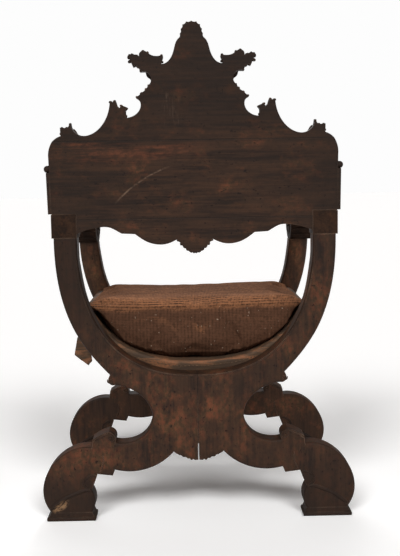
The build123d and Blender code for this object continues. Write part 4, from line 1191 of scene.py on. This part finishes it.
def makeFloor():
    # white paper: what the camera and reflections see of it is lifted to clean white
    s = studio
    bm = bmesh.new()
    bm.faces.new([bm.verts.new((x * s["size"], y * s["size"], 0))
                  for x, y in ((-1, -1), (1, -1), (1, 1), (-1, 1))])
    material, tree = startMaterial("paperFloor")
    seen = addNode(tree, "ShaderNodeLightPath").outputs
    shown = together(tree, seen["Is Camera Ray"], seen["Is Glossy Ray"],
                     seen["Is Transmission Ray"], how="MAXIMUM")
    paper = coat(tree, [s["floor"]] * 3 + [1], [s["shown"] * k for k in (1, 0.998, 0.996)] + [1], shown)
    matt = addNode(tree, "ShaderNodeBsdfDiffuse", {"Color": paper})
    addNode(tree, "ShaderNodeOutputMaterial", {"Surface": matt.outputs[0]})
    floor = pieceFrom("floor", bm, material)


def makeSky():
    # brighter overhead, as under a large lamp, and plain white to the camera
    s = studio
    world = bpy.data.worlds.new("studioSky")
    world.use_nodes = True
    tree = world.node_tree
    tree.nodes.clear()
    seen = addNode(tree, "ShaderNodeLightPath").outputs
    shown = together(tree, seen["Is Camera Ray"], seen["Is Transmission Ray"], how="MAXIMUM")
    up = addNode(tree, "ShaderNodeSeparateXYZ", {
        "Vector": addNode(tree, "ShaderNodeTexCoord").outputs["Generated"]}).outputs[2]
    light = together(tree, (up, 0.1, 0.9, s["skyLow"], s["skyHigh"]))
    strength = addNode(tree, "ShaderNodeMix", {0: shown, 2: light, 3: 1.0},
                       data_type="FLOAT").outputs[0]
    back = addNode(tree, "ShaderNodeBackground", {
        "Color": coat(tree, s["warm"], s["white"], shown), "Strength": strength})
    addNode(tree, "ShaderNodeOutputWorld", {"Surface": back.outputs[0]})
    bpy.context.scene.world = world


def hangLamp(name, kind, towards, **settings):
    lamp = bpy.data.lights.new(name, kind)
    for key, value in settings.items():
        setattr(lamp, key, value)
    lampObject = bpy.data.objects.new(name, lamp)
    lampObject.rotation_mode = "QUATERNION"
    lampObject.rotation_quaternion = towards.to_track_quat("Z", "Y")
    bpy.context.scene.collection.objects.link(lampObject)
    return lampObject


def makeLamps():
    for name, (strength, elevation, turn, softness) in studio["lamps"].items():
        up, turn = math.radians(elevation), math.radians(turn)
        towards = Vector((math.sin(turn) * math.cos(up), math.cos(turn) * math.cos(up), math.sin(up)))
        hangLamp(name, "SUN", towards, energy=strength, angle=math.radians(softness))
    k = studio["seatLamp"]
    spot = hangLamp("seatLamp", "SPOT", Vector(k["place"]) - Vector(k["aim"]), energy=k["watts"],
                    spot_size=math.radians(k["cone"]), spot_blend=1.0, shadow_soft_size=k["size"])
    spot.location = k["place"]


makeFloor()
makeSky()
makeLamps()

# degrees, and the lens in millimetres for a picture 36 mm high
viewpoint = {"place": (0.0149, 2.1, 0.7217), "pitch": 6.27, "yaw": 0.74, "roll": -0.98,
             "lens": 57.820144, "height": 36}


def makeCamera():
    v = viewpoint
    pitch, yaw, roll = (math.radians(v[k]) for k in ("pitch", "yaw", "roll"))
    ahead = Vector((-math.sin(yaw) * math.cos(pitch), -math.cos(yaw) * math.cos(pitch),
                    -math.sin(pitch)))
    level = Vector((-math.cos(yaw), math.sin(yaw), 0))
    right = level * math.cos(roll) + level.cross(ahead) * math.sin(roll)
    turned = Matrix((right, right.cross(ahead), -ahead)).transposed().to_4x4()
    lensData = bpy.data.cameras.new("camera")
    lensData.lens = v["lens"]
    lensData.sensor_width = v["height"]
    camera = bpy.data.objects.new("camera", lensData)
    camera.matrix_world = Matrix.Translation(v["place"]) @ turned
    bpy.context.scene.collection.objects.link(camera)
    bpy.context.scene.camera = camera


makeCamera()
bpy.context.scene.view_settings.view_transform = "Standard"

print("scene made")
